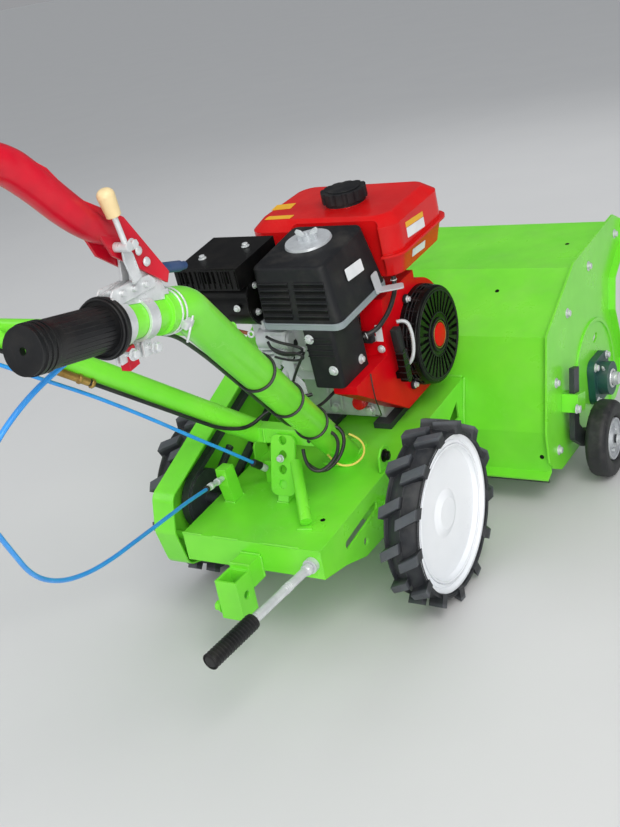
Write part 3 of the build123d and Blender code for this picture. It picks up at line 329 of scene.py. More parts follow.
@dataclass(frozen=True)
class TreadFinish(Finish):
    """Rubber whose ground face is paler with dried soil, told by its distance from the axle.

    Attributes:
        axis: The axle in (y, z), metres in the record frame.
        tread: Radius in metres past which the face is pale.
        fade: Width in metres over which it gets pale.
        pale: Colour of the ground face.
    """

    axis: tuple[float, float] = (-0.031, 0.150)
    tread: float = 0.1465
    fade: float = 0.004
    pale: tuple[int, int, int] = (84, 88, 94)

    def colour(self, graph: Graph, tone: Socket) -> Socket:
        """Gives the rubber's colour with the pale ground face."""
        place = graph.split(graph.node("TexCoord").outputs["Object"])
        back = graph.maths("SUBTRACT", place["Y"], self.axis[0])
        high = graph.maths("SUBTRACT", place["Z"], self.axis[1])
        squares = graph.maths("ADD", graph.product(back, back), graph.product(high, high))
        face = graph.remap(graph.maths("SQRT", squares), self.tread - self.fade, self.tread)
        mottled = graph.maths("SUBTRACT", 0.95, graph.product(tone, 0.45))
        return graph.mixed(graph.product(face, mottled), super().colour(graph, tone),
                           paint(*self.pale))


FINISHES = (
    Finish("green_paint", (128, 233, 58), (112, 220, 46), 0.26, 0.08, 260, 0.00012, coat=0.2,
           broad=9, dusty=0.12, worn=0.22, wear=(170, 240, 130), edge=0.0012),
    Finish("red_paint", (220, 20, 22), (200, 14, 18), 0.2, 0.06, 300, 0.00006, coat=0.1,
           broad=8, dusty=0.06, worn=0.08, wear=(250, 120, 100), edge=0.0012, specular=0.22),
    Finish("shroud_red", (222, 8, 24), (202, 6, 20), 0.3, 0.08, 300, 0.00006, broad=8,
           dusty=0.04, worn=0.05, wear=(240, 90, 80), edge=0.0012, specular=0.06),
    Finish("lever_red", (212, 14, 42), (180, 8, 34), 0.26, 0.1, 300, coat=0.1, broad=16,
           dusty=0.12, worn=0.3, wear=(235, 110, 120), edge=0.001, specular=0.3),
    Finish("black_paint", (8, 8, 9), (13, 13, 14), 0.28, 0.12, 500, coat=0.05, dusty=0.03,
           wear=(90, 92, 94), specular=0.2),
    Finish("black_plastic", (33, 34, 37), (27, 28, 31), 0.46, 0.1, 1300, 0.00016, dusty=0.1,
           wear=(90, 92, 95), edge=0.0015, specular=0.25),
    Finish("black_gloss", (8, 8, 9), (12, 12, 13), 0.2, 0.12, 420, 0.00008, coat=0.05,
           dusty=0.03, worn=0.08, wear=(80, 82, 88), edge=0.0012, specular=0.15),
    Finish("grip_rubber", (17, 17, 19), (25, 26, 28), 0.36, 0.12, 1500, dusty=0.08,
           wear=(80, 82, 85), specular=0.4),
    Finish("gauge_rubber", (30, 31, 34), (42, 43, 46), 0.5, 0.14, 700, 0.0002, broad=30,
           dusty=0.25, dust=(110, 106, 100), wear=(80, 82, 86)),
    TreadFinish("tyre_rubber", (32, 34, 39), (44, 47, 52), 0.46, 0.14, 700, 0.00025, broad=24,
                dusty=0.3, dust=(110, 108, 104), worn=0.2, wear=(105, 108, 112), edge=0.0014),
    Finish("flap_rubber", (42, 43, 46), (54, 54, 57), 0.66, 0.1, 600, 0.0002, dusty=0.4, worn=0.2),
    Finish("rim_white", (243, 245, 248), (234, 237, 241), 0.36, 0.1, 240, 0.00006, broad=6,
           dusty=0.1, dust=(186, 180, 168), wear=(190, 192, 194), edge=0.0015, specular=0.25),
    Finish("hub_silver", (202, 206, 210), (184, 188, 194), 0.36, 0.12, 500, metal=0.35,
           dusty=0.25),
    Finish("cast_alloy", (222, 224, 226), (196, 199, 203), 0.42, 0.16, 900, 0.0003, metal=0.3,
           dusty=0.2, worn=0.2, wear=(236, 238, 240)),
    Finish("zinc", (226, 229, 230), (204, 208, 210), 0.26, 0.16, 700, 0.00012, metal=0.35,
           broad=60, dusty=0.08, wear=(236, 238, 238)),
    Finish("dark_steel", (68, 72, 78), (54, 56, 61), 0.42, 0.16, 600, 0.00015, metal=0.5,
           dusty=0.2, worn=0.2, wear=(150, 152, 156)),
    Finish("teal_cast", (28, 88, 80), (22, 70, 66), 0.42, 0.14, 480, 0.0003, coat=0.2,
           dusty=0.2, worn=0.25, wear=(90, 150, 140)),
    Finish("cream_plastic", (236, 216, 168), (222, 196, 142), 0.36, 0.1, 700, 0.00008,
           dusty=0.25, dust=(150, 120, 80), wear=(190, 160, 110)),
    Finish("cable_blue", (48, 158, 240), (38, 142, 226), 0.3, 0.08, 800, 0.00006, coat=0.2,
           broad=30, worn=0),
    Finish("cable_black", (22, 23, 25), (30, 31, 34), 0.34, 0.1, 800, 0.00006, worn=0),
    Finish("grey_gasket", (150, 160, 164), (132, 142, 147), 0.5, 0.1, 900, worn=0.2),
    Finish("nut_silver", (214, 218, 222), (194, 198, 202), 0.3, 0.2, 420, 0.0002, metal=0.4,
           broad=40, dusty=0.08, worn=0.15, wear=(245, 246, 248)),
    Finish("blank_yellow", (240, 182, 34), (232, 170, 28), 0.36, 0.08, 300, 0.00004, broad=30,
           dusty=0.1, wear=(250, 220, 140)),
    Finish("blank_white", (232, 234, 236), (220, 223, 226), 0.4, 0.08, 300, 0.00004, broad=30,
           wear=(190, 190, 192)),
    Finish("wire_yellow", (238, 222, 110), (226, 206, 90), 0.4, 0.08, 600, 0.00005, dusty=0.1,
           worn=0),
    Finish("sleeve_blue", (34, 70, 118), (28, 58, 100), 0.45, 0.1, 600, dusty=0.2),
    Finish("brass", (196, 160, 92), (160, 124, 66), 0.34, 0.16, metal=0.8, broad=50,
           wear=(230, 205, 150)),
    Finish("copper", (168, 100, 72), (140, 78, 56), 0.34, 0.14, metal=0.5, broad=50,
           wear=(214, 150, 120)),
    # dark_slot is painted shade: near-black, dull discs and strips that stand for the shade inside
    # holes and slots
    Finish("dark_slot", (10, 10, 11), (14, 14, 15), 0.8, 0.1, 600, dusty=0.05, worn=0,
           specular=0.2),
)


@dataclass
class Paints:
    """The machine's materials, by slot or by a finish's own name."""

    made: dict[str, bpy.types.Material] = field(default_factory=dict)
    own: ClassVar[dict[str, str]] = {"gauge_tyre_left": "gauge_rubber",
                                     "gauge_tyre_right": "gauge_rubber",
                                     "blower_shroud": "shroud_red"}

    def mix_all(self) -> None:
        """Builds every material."""
        for finish in FINISHES:
            self.made[finish.slot] = finish.build()

    def carry_over(self) -> None:
        """Gives every CAD node the finish of its own slot."""
        for name, obj in NODES.items():
            old = obj.data.materials[0].name if obj.data.materials else ""
            slot = self.own.get(name, old.split(".")[0])
            if slot in self.made:
                obj.data.materials.clear()
                obj.data.materials.append(self.made[slot])
            else:
                LOG.warning("no finish for %s (%s)", name, old)


PAINTS = Paints()


def upper(centre: Vector, normal: Vector) -> bool:
    """Tells whether a face looks up."""
    return normal.z > 0.9


def lower(centre: Vector, normal: Vector) -> bool:
    """Tells whether a face looks down."""
    return normal.z < -0.9


def ends(centre: Vector, normal: Vector) -> bool:
    """Tells whether a face looks up or down."""
    return abs(normal.z) > 0.9


class Bench:
    """Modelling steps that every sub-assembly uses; sizes are in millimetres."""

    @staticmethod
    def hold(*pieces: Piece) -> None:
        """Leaves edit mode and selects just these pieces, the first of them active."""
        if bpy.context.mode != "OBJECT":
            bpy.ops.object.mode_set(mode="OBJECT")
        bpy.ops.object.select_all(action="DESELECT")
        for piece in pieces:
            piece.select_set(True)
        if pieces:
            bpy.context.view_layer.objects.active = pieces[0]

    @classmethod
    def bar(cls, radius: float, depth: float, sides: int = 24) -> Piece:
        """Adds a round or many-sided bar that stands on the origin."""
        cls.hold()
        bpy.ops.mesh.primitive_cylinder_add(vertices=sides, radius=radius / 1000,
                                            depth=depth / 1000, location=(0, 0, depth / 2000))
        bpy.ops.object.transform_apply(location=True, rotation=True, scale=True)
        return bpy.context.object

    @classmethod
    def block(cls, x: float, y: float, z: float) -> Piece:
        """Adds a block centred in x and y that stands on the origin."""
        cls.hold()
        bpy.ops.mesh.primitive_cube_add(size=1, location=(0, 0, z / 2000),
                                        scale=(x / 1000, y / 1000, z / 1000))
        bpy.ops.object.transform_apply(location=True, rotation=True, scale=True)
        return bpy.context.object

    @classmethod
    def ring(cls, radius: float, thick: float, sides: int = 48, small: int = 10) -> Piece:
        """Adds a ring round the origin's z axis."""
        cls.hold()
        bpy.ops.mesh.primitive_torus_add(major_segments=sides, minor_segments=small,
                                         major_radius=radius / 1000, minor_radius=thick / 1000)
        return bpy.context.object

    @classmethod
    def work(cls, piece: Piece, test: Test, *steps: tuple[str, object]) -> Piece:
        """Works on some of the piece's faces.

        Args:
            piece: The piece.
            test: Takes a face's centre and normal and picks it.
            steps: Each "size" with three factors, "move" with a way, or "inset" or "draw" with
                a length.

        Returns:
            The same piece.
        """
        cls.hold(piece)
        bpy.ops.object.mode_set(mode="EDIT")
        bpy.ops.mesh.select_mode(type="FACE")
        bpy.ops.mesh.select_all(action="DESELECT")
        mesh = bmesh.from_edit_mesh(piece.data)
        for face in mesh.faces:
            if test(face.calc_center_median(), face.normal):
                face.select_set(True)
        bmesh.update_edit_mesh(piece.data)
        for step, value in steps:
            if step == "size":
                bpy.ops.transform.resize(value=value)
            elif step == "move":
                bpy.ops.transform.translate(value=[way / 1000 for way in value])
            elif step == "inset":
                bpy.ops.mesh.inset(thickness=value / 1000)
            else:
                cls.draw(value)
        cls.hold()
        return piece

    @staticmethod
    def draw(depth: float) -> None:
        """Draws the selected faces out along z."""
        bpy.ops.mesh.extrude_region_move(TRANSFORM_OT_translate={"value": (0, 0, depth / 1000)})

    @classmethod
    def soften(cls, piece: Piece, width: float, segments: int = 2, smooth: bool = True) -> Piece:
        """Rounds the piece's sharp edges."""
        cls.hold(piece)
        modifier = piece.modifiers.new("edge", "BEVEL")
        modifier.width, modifier.segments = width / 1000, segments
        modifier.limit_method, modifier.angle_limit = "ANGLE", math.radians(32)
        bpy.ops.object.modifier_apply(modifier=modifier.name)
        if smooth:
            bpy.ops.object.shade_smooth_by_angle(angle=math.radians(38))
        return piece

    @classmethod
    def shaped(cls, piece: Piece, width: float = 0.0, segments: int = 2, test: Test = upper,
               *steps: tuple[str, object]) -> Piece:
        """Works on a piece where it has steps and rounds its edges where it has a width."""
        if steps:
            cls.work(piece, test, *steps)
        return cls.soften(piece, width, segments) if width else piece

    @classmethod
    def puck(cls, radius: float, depth: float, sides: int, *shape: object) -> Piece:
        """Adds a shaped bar."""
        return cls.shaped(cls.bar(radius, depth, sides), *shape)

    @classmethod
    def brick(cls, x: float, y: float, z: float, *shape: object) -> Piece:
        """Adds a shaped block."""
        return cls.shaped(cls.block(x, y, z), *shape)

    @classmethod
    def thicken(cls, piece: Piece, thick: float, widest: float) -> Piece:
        """Draws a flat piece up and softens it by a share of its thickness, widest at most."""
        bpy.ops.mesh.select_all(action="SELECT")
        cls.draw(thick)
        bpy.ops.mesh.select_all(action="SELECT")
        bpy.ops.mesh.normals_make_consistent(inside=False)
        return cls.soften(piece, min(widest, thick * 0.3), 1)

    @classmethod
    def plate(cls, width: float, height: float, thick: float, corner: float) -> Piece:
        """Adds a plate with round corners that lies on the origin."""
        cls.hold()
        bpy.ops.mesh.primitive_plane_add(size=1)
        bpy.ops.object.mode_set(mode="EDIT")
        bpy.ops.mesh.select_all(action="SELECT")
        bpy.ops.transform.resize(value=(width / 1000, height / 1000, 1))
        bpy.ops.mesh.bevel(offset=corner / 1000, segments=5, affect="VERTICES")
        return cls.thicken(bpy.context.object, thick, 0.4)

    @classmethod
    def outline(cls, points: Sequence[tuple[float, float]], thick: float) -> Piece:
        """Adds a flat piece with a free outline in its own x and y, on the origin."""
        cls.hold()
        bpy.ops.mesh.primitive_circle_add(vertices=len(points), radius=0.01, fill_type="NGON")
        piece = bpy.context.object
        for vertex, (x, y) in zip(piece.data.vertices, points):
            vertex.co = (x / 1000, y / 1000, 0)
        bpy.ops.object.mode_set(mode="EDIT")
        return cls.thicken(piece, thick, 0.5)

    @classmethod
    def rod(cls, a: Point, b: Point, radius: float, sides: int = 20, edge: float = 0.5) -> Piece:
        """Adds a round bar with softened ends from a to b."""
        run = Vector(b) - Vector(a)
        piece = cls.soften(cls.bar(radius, run.length, sides), min(edge, radius * 0.3), 1)
        return cls.seat(piece, a, run)

    @classmethod
    def line(cls, name: str, points: Sequence[Point], radius: float, roundness: int) -> Piece:
        """Lays a round curve on a smooth line through the points' hull."""
        curve = bpy.data.curves.new(name, "CURVE")
        curve.dimensions = "3D"
        curve.bevel_depth, curve.bevel_resolution = radius / 1000, roundness
        curve.use_fill_caps = True
        spline = curve.splines.new("NURBS")
        spline.points.add(len(points) - 1)
        for knot, point in zip(spline.points, points):
            knot.co = (*at(*point), 1.0)
        spline.order_u, spline.use_endpoint_u = 3, True
        line = bpy.data.objects.new(name, curve)
        bpy.context.scene.collection.objects.link(line)
        return line

    @classmethod
    def tube(cls, points: Sequence[Point], radius: float, sides: int = 10,
             swell: Sequence[float] = ()) -> Piece:
        """Makes a mesh tube on a line, its radius times the factor in swell at each point."""
        line = cls.line("line", points, radius, max(1, sides // 4 - 1))
        for knot, factor in zip(line.data.splines[0].points, swell):
            knot.radius = factor
        cls.hold(line)
        bpy.ops.object.convert(target="MESH")
        bpy.ops.object.shade_smooth()
        return bpy.context.object

    @staticmethod
    def seat(piece: Piece, where: Point, up: Sequence[float], turn: float = 0.0) -> Piece:
        """Moves the mesh from the origin to a place on the machine.

        Args:
            piece: The piece, modelled on the origin.
            where: Machine millimetres for the origin.
            up: Direction for the z axis.
            turn: Degrees about that axis.

        Returns:
            The same piece.
        """
        way = Vector(up).normalized().to_track_quat("Z", "Y").to_matrix().to_4x4()
        spin = Matrix.Rotation(math.radians(turn), 4, "Z")
        piece.data.transform(Matrix.Translation(at(*where)) @ way @ spin)
        return piece

    @classmethod
    def spread(cls, model: Piece, mounts: Iterable[Mount]) -> list[Piece]:
        """Copies a model to each mount and removes it."""
        pieces = []
        for mount in mounts:
            twin = model.copy()
            twin.data = model.data.copy()
            bpy.context.scene.collection.objects.link(twin)
            pieces.append(cls.seat(twin, *mount))
        bpy.data.objects.remove(model)
        return pieces

    @classmethod
    def weld(cls, name: str, slot: str, parts: Sequence[Piece], body: str = "frame",
             finish: str = "") -> None:
        """Joins parts to one named piece with its finish and body.

        Args:
            name: Name of the piece.
            slot: The record's slot.
            parts: The pieces to join.
            body: Body that it rides on.
            finish: Name of the finish where it isn't the slot's own.
        """
        cls.hold(*parts)
        if len(parts) > 1:
            bpy.ops.object.join()
        piece = bpy.context.view_layer.objects.active
        piece.name = piece.data.name = name
        piece.data.materials.clear()
        piece.data.materials.append(PAINTS.made[finish or slot])
        for face in piece.data.polygons:
            face.material_index = 0
        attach(piece, body)
        LOG.info("%s: %d faces on %s", name, len(piece.data.polygons), body)


class Fastener:
    """Bolts, nuts and beads, each modelled once and copied."""

    @staticmethod
    def bolt(across: float, head: float, washer: float, lift: float = 1.2) -> Piece:
        """Models a hex head of that width and height with a crown, lifted by its washer."""
        top = Bench.work(Bench.bar(across * 0.577, head, 6), upper, ("inset", across * 0.09),
                         ("move", (0, 0, head * 0.12)))
        Bench.soften(top, 0.35, 1).data.transform(Matrix.Translation((0, 0, lift / 1000)))
        Bench.hold(top, Bench.soften(Bench.bar(washer, lift + 0.2, 28), 0.35, 1))
        bpy.ops.object.join()
        return bpy.context.object

    @staticmethod
    def carriage(radius: float, rise: float) -> Piece:
        """Models a low domed head."""
        Bench.hold()
        bpy.ops.mesh.primitive_uv_sphere_add(segments=20, ring_count=10, radius=radius / 1000)
        dome = Bench.work(bpy.context.object, lambda centre, normal: centre.z < -0.0001)
        Bench.hold(dome)
        bpy.ops.object.mode_set(mode="EDIT")
        bpy.ops.mesh.delete(type="FACE")
        bpy.ops.mesh.select_all(action="SELECT")
        bpy.ops.transform.resize(value=(1, 1, rise / radius))
        Bench.hold(dome)
        bpy.ops.object.shade_smooth()
        return dome

    @staticmethod
    def bead(size: float, points: Sequence[Point]) -> list[Piece]:
        """Lays a weld bead of overlapping drops of that radius along the seam's points."""
        Bench.hold()
        bpy.ops.mesh.primitive_uv_sphere_add(segments=8, ring_count=5, radius=size / 1000)
        drop = Bench.work(bpy.context.object, lambda centre, normal: True,
                          ("size", (1.15, 1.15, 0.72)))
        Bench.hold(drop)
        bpy.ops.object.shade_smooth()
        mounts = []
        for a, b in zip(points, points[1:]):
            run = Vector(b) - Vector(a)
            count = max(1, int(run.length / (size * 0.8)))
            for i in range(count):
                x, y, z = between(a, b, (i + 0.5) / count)
                mounts.append(((x, y, z + 0.075 * size * math.sin(2.3 * i)), run, 40.0 * i))
        return Bench.spread(drop, mounts)


@dataclass
class Studio:
    """Camera at the photograph's view, soft lamps, world and floor."""

    eye: Point = (0.9967252, -1.4522549, 1.0268687)
    right: Point = (0.84853568, 0.4983055, -0.17798549)
    down: Point = (0.05508171, -0.41772429, -0.90690265)
    ahead: Point = (-0.52626344, 0.75973551, -0.38190149)
    lens: float = 65.66
    sky: float = 0.58
    pane: float = 0.16
    backdrop: Colour = (0.315, 0.319, 0.33)
    floor: tuple[Colour, Colour] = ((0.62, 0.62, 0.62), (0.655, 0.655, 0.65))
    # Name, place, target, size, power, tint and whether reflections show it
    lamps: tuple[tuple, ...] = (
        ("key", (2.2, -1.6, 3.4), (0, 0.1, 0.3), 1.9, 64.0, (1.0, 0.98, 0.95), True),
        ("front", (2.3, -3.2, 1.5), (0, 0.1, 0.4), 2.2, 64.0, (1.0, 0.99, 0.97), True),
        ("fill", (-2.6, -2.0, 2.2), (0, 0, 0.3), 2.6, 26.0, (0.95, 0.98, 1.0), True),
        ("back", (-0.6, 3.2, 2.6), (0, 0.2, 0.3), 2.2, 24.0, (1.0, 1.0, 1.0), False))

    def set_camera(self) -> None:
        """Places the camera."""
        data = bpy.data.cameras.new("camera")
        data.sensor_fit, data.sensor_width, data.lens = "HORIZONTAL", 36.0, self.lens
        data.clip_start, data.clip_end = 0.05, 200.0
        camera = bpy.data.objects.new("camera", data)
        bpy.context.scene.collection.objects.link(camera)
        turn = Matrix((self.right, [-c for c in self.down], [-c for c in self.ahead]))
        camera.matrix_world = Matrix.Translation(self.eye) @ turn.transposed().to_4x4()
        bpy.context.scene.camera = camera

    def set_world(self) -> None:
        """Lights the scene evenly, with its own sky for reflections and for the camera."""
        world = bpy.data.worlds.new("world")
        bpy.context.scene.world = world
        world.use_nodes = True
        world.node_tree.nodes.clear()
        graph = Graph(world.node_tree)
        sky = graph.node("Background", Color=(0.93, 0.96, 1.0), Strength=self.sky)
        pale = graph.node("Background", Color=self.backdrop, Strength=1.0)
        rise = graph.split(graph.node("NewGeometry").outputs["Normal"])["Z"]
        pane = graph.node("Background", Color=(0.95, 0.97, 1.0),
                          Strength=graph.remap(rise, -0.15, -0.95, 0.1, self.pane))
        rays = graph.node("LightPath").outputs
        gloss = graph.blend(rays["Is Glossy Ray"], sky, pane)
        seen = graph.blend(rays["Is Camera Ray"], gloss, pale)
        graph.node("OutputWorld", Surface=seen.outputs[0])

    def set_lamps(self) -> None:
        """Sets the soft square lamps."""
        for name, where, target, size, power, tint, mirrored in self.lamps:
            data = bpy.data.lights.new(name, "AREA")
            data.size, data.energy, data.color = size, power, tint
            lamp = bpy.data.objects.new(name, data)
            bpy.context.scene.collection.objects.link(lamp)
            lamp.visible_glossy, lamp.location = mirrored, where
            way = Vector(target) - Vector(where)
            lamp.rotation_euler = way.to_track_quat("-Z", "Y").to_euler()

    def set_floor(self) -> None:
        """Lays a pale floor under the wheels."""
        Bench.hold()
        bpy.ops.mesh.primitive_plane_add(size=160, location=(0, 0, -0.0004))
        floor = bpy.context.object
        floor.name = "floor"
        material = bpy.data.materials.new("floor")
        material.use_nodes = True
        graph = Graph(material.node_tree)
        graph.fill(graph.tree.nodes["Principled BSDF"], Roughness=0.8,
                   Base_Color=graph.mixed(graph.noise(3.0, 3.0), *self.floor))
        floor.data.materials.append(material)

    def build(self) -> None:
        """Builds the whole studio."""
        self.set_camera()
        self.set_world()
        self.set_floor()
        self.set_lamps()
        bpy.context.scene.view_settings.view_transform = "Standard"


@dataclass
class ClutchCables:
    """The two blue cables from the lever brackets to the lug and the tension arm."""

    radius: float = 3.0
    right_way: tuple[Point, ...] = (
        (203, -600.9, 700), (201, -668, 690), (190, -732, 670), (166, -776, 627), (142, -775, 562),
        (118, -739, 500), (92, -702, 442), (67, -649, 398), (45, -586, 367), (23, -519, 345),
        (1, -451, 328), (-22, -383, 310), (-44, -316, 293), (-66, -248, 276), (-88, -180, 256))
    left_way: tuple[Point, ...] = (
        (-203, -582.4, 699), (-205, -541, 663), (-197, -482, 614), (-186, -425, 570),
        (-171, -370, 524), (-152, -316, 480), (-131, -266, 434), (-111, -216, 386),
        (-94, -167, 338), (-79, -119, 294), (-64, -74, 250))

    def lay(self, name: str, way: Sequence[Point]) -> None:
        """Lays one cable on its route.

        Args:
            name: The CAD node that it stands for.
            way: Control points in millimetres.
        """
        line = Bench.line(name + "_line", way, self.radius, 5)
        line.data.resolution_u = 16
        line.data.materials.append(PAINTS.made["cable_blue"])
        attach(line, "frame")
        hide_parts(name)
        LOG.info("%s on its route", name)

    def build(self) -> None:
        """Lays both cables."""
        self.lay("blue_cable_right", self.right_way)
        self.lay("blue_cable_left", self.left_way)


@dataclass(frozen=True)
class Trim:
    """One piece told by rows, on the machine.

    Attributes:
        name: Name of the piece.
        slot: The record's slot.
        rows: Each a model, its size and its mounts: for a rod its two ends, for a tube its
            points, else a point, a direction for the model's z axis and degrees about it.
            A bead has its seam in its size and no mount.
        finish: Name of the finish where it isn't the slot's own.
        body: Body that the piece rides on.
    """

    name: str
    slot: str
    rows: tuple[tuple, ...]
    finish: str = ""
    body: str = "frame"

    @staticmethod
    def point(x: float, y: float, z: float) -> Point:
        """Gives the machine millimetres of a point."""
        return (x, y, z)

    way = point

    def made(self, model: Callable[..., Piece], size: tuple, *mounts: tuple) -> list[Piece]:
        """Models and seats one row."""
        if not mounts:
            return model(*size)
        if model == Bench.rod:
            return [model(self.point(*a), self.point(*b), *size) for a, b in mounts]
        if model == Bench.tube:
            return [model([self.point(*p) for p in line], *size) for line in mounts]
        return Bench.spread(model(*size), [(self.point(*where), self.way(*up), *turn)
                                           for where, up, *turn in mounts])

    def build(self, *more: Piece) -> None:
        """Builds the piece, with more parts where they are made elsewhere."""
        parts = [part for row in self.rows for part in self.made(*row)]
        Bench.weld(self.name, self.slot, [*parts, *more], self.body, self.finish)


class EngineTrim(Trim):
    """One piece told by rows on the engine's sloping base."""

    point, way = staticmethod(on_engine), staticmethod(engine_way)


def around(x: float, middle: tuple[float, float], radius: float, angle: float) -> Point:
    """Gives the point at a radius and angle round an axis along x."""
    return (x, middle[0] + radius * math.cos(angle), middle[1] + radius * math.sin(angle))


@dataclass
class DriveWheel:
    """Rings, mould line and hub bolts of one drive wheel."""

    side: Side
    x: float = 223.0
    axle: tuple[float, float] = (0.0, 150.0)
    hub_r: float = 20.0

    def build(self) -> None:
        """Builds the wheel's trim."""
        s, tag = self.side.value, self.side.tag
        body, out = "wheel_" + tag, (s, 0, 0)
        Trim("tyre_lines_" + tag, "tyre_rubber", tuple(
            (Bench.ring, (radius, thick, 96, small), ((s * (self.x + shift), *self.axle), out))
            for shift, radius, thick, small in ((0, 136.8, 1.4, 8), (27.6, 133, 0.9, 6),
                                                (-27.6, 133, 0.9, 6), (28.3, 130.2, 0.9, 6))
            ), body=body).build()
        Trim("rim_ring_" + tag, "rim_white", (
            (Bench.ring, (110.5, 1.6, 96, 8), ((s * (self.x + 22.4), *self.axle), out)),
            ), body=body).build()
        Trim("hub_bolts_" + tag, "zinc", ((Fastener.bolt, (8, 4, 5.6), *(
            (around(s * (self.x - 34.8), self.axle, self.hub_r, a), (-s, 0, 0), 15.0 * a)
            for a in (0.4, 1.65, 2.9, 4.17, 5.4))),), body=body).build()


@dataclass
class GaugeWheel:
    """Tread blocks, rim bolts, lip and axle nut of one gauge wheel."""

    side: Side
    x: float = 352.0
    axle: tuple[float, float] = (455.0, 73.0)
    radius: float = 73.0
    bolt_r: float = 27.0
    blocks: int = 30

    @staticmethod
    def block() -> Piece:
        """Models one block of the tread."""
        block = Bench.work(Bench.block(9.5, 11.0, 3.2), upper, ("size", (0.82, 0.82, 1.0)))
        return Bench.soften(block, 0.5, 1, smooth=False)

    def tread(self) -> list[tuple]:
        """Gives the mounts of three rows of blocks round the tyre."""
        mounts = []
        for row, tilt in ((-12.2, -0.32), (0, 0), (12.2, 0.32)):
            depth = self.radius - 3.5 - abs(tilt) * 6.0
            for i in range(self.blocks):
                turn = 2 * math.pi * (i + (0.5 if row else 0.0)) / self.blocks
                y, z = math.sin(turn), math.cos(turn)
                place = (self.side.value * self.x + row, self.axle[0] + y * depth,
                         self.axle[1] + z * depth)
                mounts.append((place, (tilt, y, z), 90.0))
        return mounts

    def build(self) -> None:
        """Builds the wheel's trim."""
        s, tag = self.side.value, self.side.tag
        body, out = "gauge_" + tag, (s, 0, 0)
        Trim("gauge_blocks_" + tag, "tyre_rubber", ((self.block, (), *self.tread()),),
             "gauge_rubber", body).build()
        Trim("gauge_bolts_" + tag, "zinc", ((Fastener.bolt, (7, 3.2, 5), *(
            (around(s * (self.x + 8.2), self.axle, self.bolt_r, a), out, 20.0 * a)
            for a in (0.2, 1.77, 3.34, 4.91))),), body=body).build()
        Trim("gauge_lip_" + tag, "hub_silver", (
            (Bench.ring, (37.5, 1.6, 64, 8), ((s * (self.x + 16.4), *self.axle), out)),
            ), body=body).build()
        Trim("gauge_nut_" + tag, "zinc", (
            (Fastener.bolt, (17, 7, 12), ((s * (self.x + 22.5), *self.axle), out, 12.0)),)).build()


@dataclass
class DeckTrim:
    """Bolts, shaft ends and holes of the deck's hood and sides; the holes are dark discs of painted
    shade.
    """

    plate_x: float = 296.3
    bolts: tuple[tuple[float, float], ...] = (
        (770, 375), (599, 364), (463, 319), (374, 218), (354, 93))
    rotor: tuple[float, float] = (583.0, 140.0)
    # Point and direction of each drain hole, drawn as a dark disc of painted shade
    holes: tuple[tuple[Point, Point], ...] = (
        ((160, 474, 358), (0, -0.42, 0.91)), ((277, 318, 95), (0, -1, 0)),
        ((241, 649, 393), (0, -0.08, 1)), ((-160, 474, 358), (0, -0.42, 0.91)),
        ((-277, 318, 95), (0, -1, 0)), ((92, -137, 196.4), (0, -0.08, 1)))

    def build_side(self, side: Side) -> None:
        """Sets one side's bolts, and the bearing's bolts, grease nipple, shaft and collar."""
        s, tag, (y0, z0) = side.value, side.tag, self.rotor
        out = (s, 0, 0)
        Trim("deck_bolts_" + tag, "zinc", ((Fastener.bolt, (11, 5.2, 9.5), *(
            ((s * self.plate_x, y, z), out, 25.0 * i)
            for i, (y, z) in enumerate(self.bolts))),)).build()
        Trim("bearing_bolts_" + tag, "zinc", (
            (Fastener.bolt, (11, 5.4, 8.6), *(
                ((s * 310.7, y0 + 35 * a, z0 + 35 * b), out, 20.0 + 31 * a)
                for a in (-1, 1) for b in (-1, 1))),
            (Bench.puck, (2.6, 9, 12, 0, 1, upper, ("inset", 0.8), ("draw", 3)),
             ((s * 322, y0 - 20, z0 + 25), (0, -0.6, 0.8))))).build()
        # Made ahead of the shaft's end, which keeps the pieces' order
        collar = Bench.ring(16.5, 2.4, 40, 8)
        Trim("rotor_shaft_end_" + tag, "zinc", (
            (Bench.rod, (12.9, 40, 1.5), ((s * 331.3, y0, z0), (s * 344.6, y0, z0))),
            (Bench.ring, (12.3, 1.2, 40, 8), ((s * 338.5, y0, z0), out))), body="rotor").build()
        Trim("gauge_clamp_bolt_" + tag, "zinc", (
            (Fastener.bolt, (13, 6, 9), ((s * 327.2, 381, 165), out, 14.0)),)).build()
        Trim("bearing_collar_" + tag, "zinc", ()).build(
            Bench.seat(collar, (s * 331.2, y0, z0), out))

    def build(self) -> None:
        """Builds the deck's trim on both sides."""
        for side in Side:
            self.build_side(side)
        # Each drain hole is a thin dark_slot disc on the surface: painted shade standing for the
        # dark inside the hole
        Trim("drain_holes", "green_paint", ((Bench.puck, (4.2, 0.5, 24, 0.1, 1), *self.holes),),
             "dark_slot").build()


def louvres(model: tuple, low: float, pitch: float = 10.6, rake: float = 0.11) -> tuple:
    """Sets a model in two columns of six on the air cleaner's raked rear face.

    Args:
        model: Its depth, height and edge, segments, test and steps; its length is added.
        low: Height of the first one.
        pitch: Height from one to the next.
        rake: The face's slope.

    Returns:
        A row for each column.
    """
    short, *size = model
    return tuple((Bench.brick, (right - left - short, *size), *(
        (((left + right) / 2, -240 + (low + pitch * i - 252) * rake, low + pitch * i),
         (0, -1, rake)) for i in range(6))) for left, right in ((-40, 17), (27, 84)))


# Outlines of the wing nut, the governor's arm and the choke lever
WING = ((-3, 0), (3, 0), (6, 5), (17, 11), (20, 17), (16, 21), (9, 18), (3, 10), (-3, 10),
        (-9, 18), (-16, 21), (-20, 17), (-17, 11), (-6, 5))
GOVERNOR = ((-8, 0), (8, 0), (12, 18), (6, 38), (13, 58), (4, 72), (-8, 64), (-5, 44), (-13, 22))
CHOKE = ((-4, -4), (4, -4), (5, 20), (12, 30), (6, 34), (-3, 24))
# Height of the tank's top, and the cap's place on it
TOP, CAP = 362.2, (4, 12)
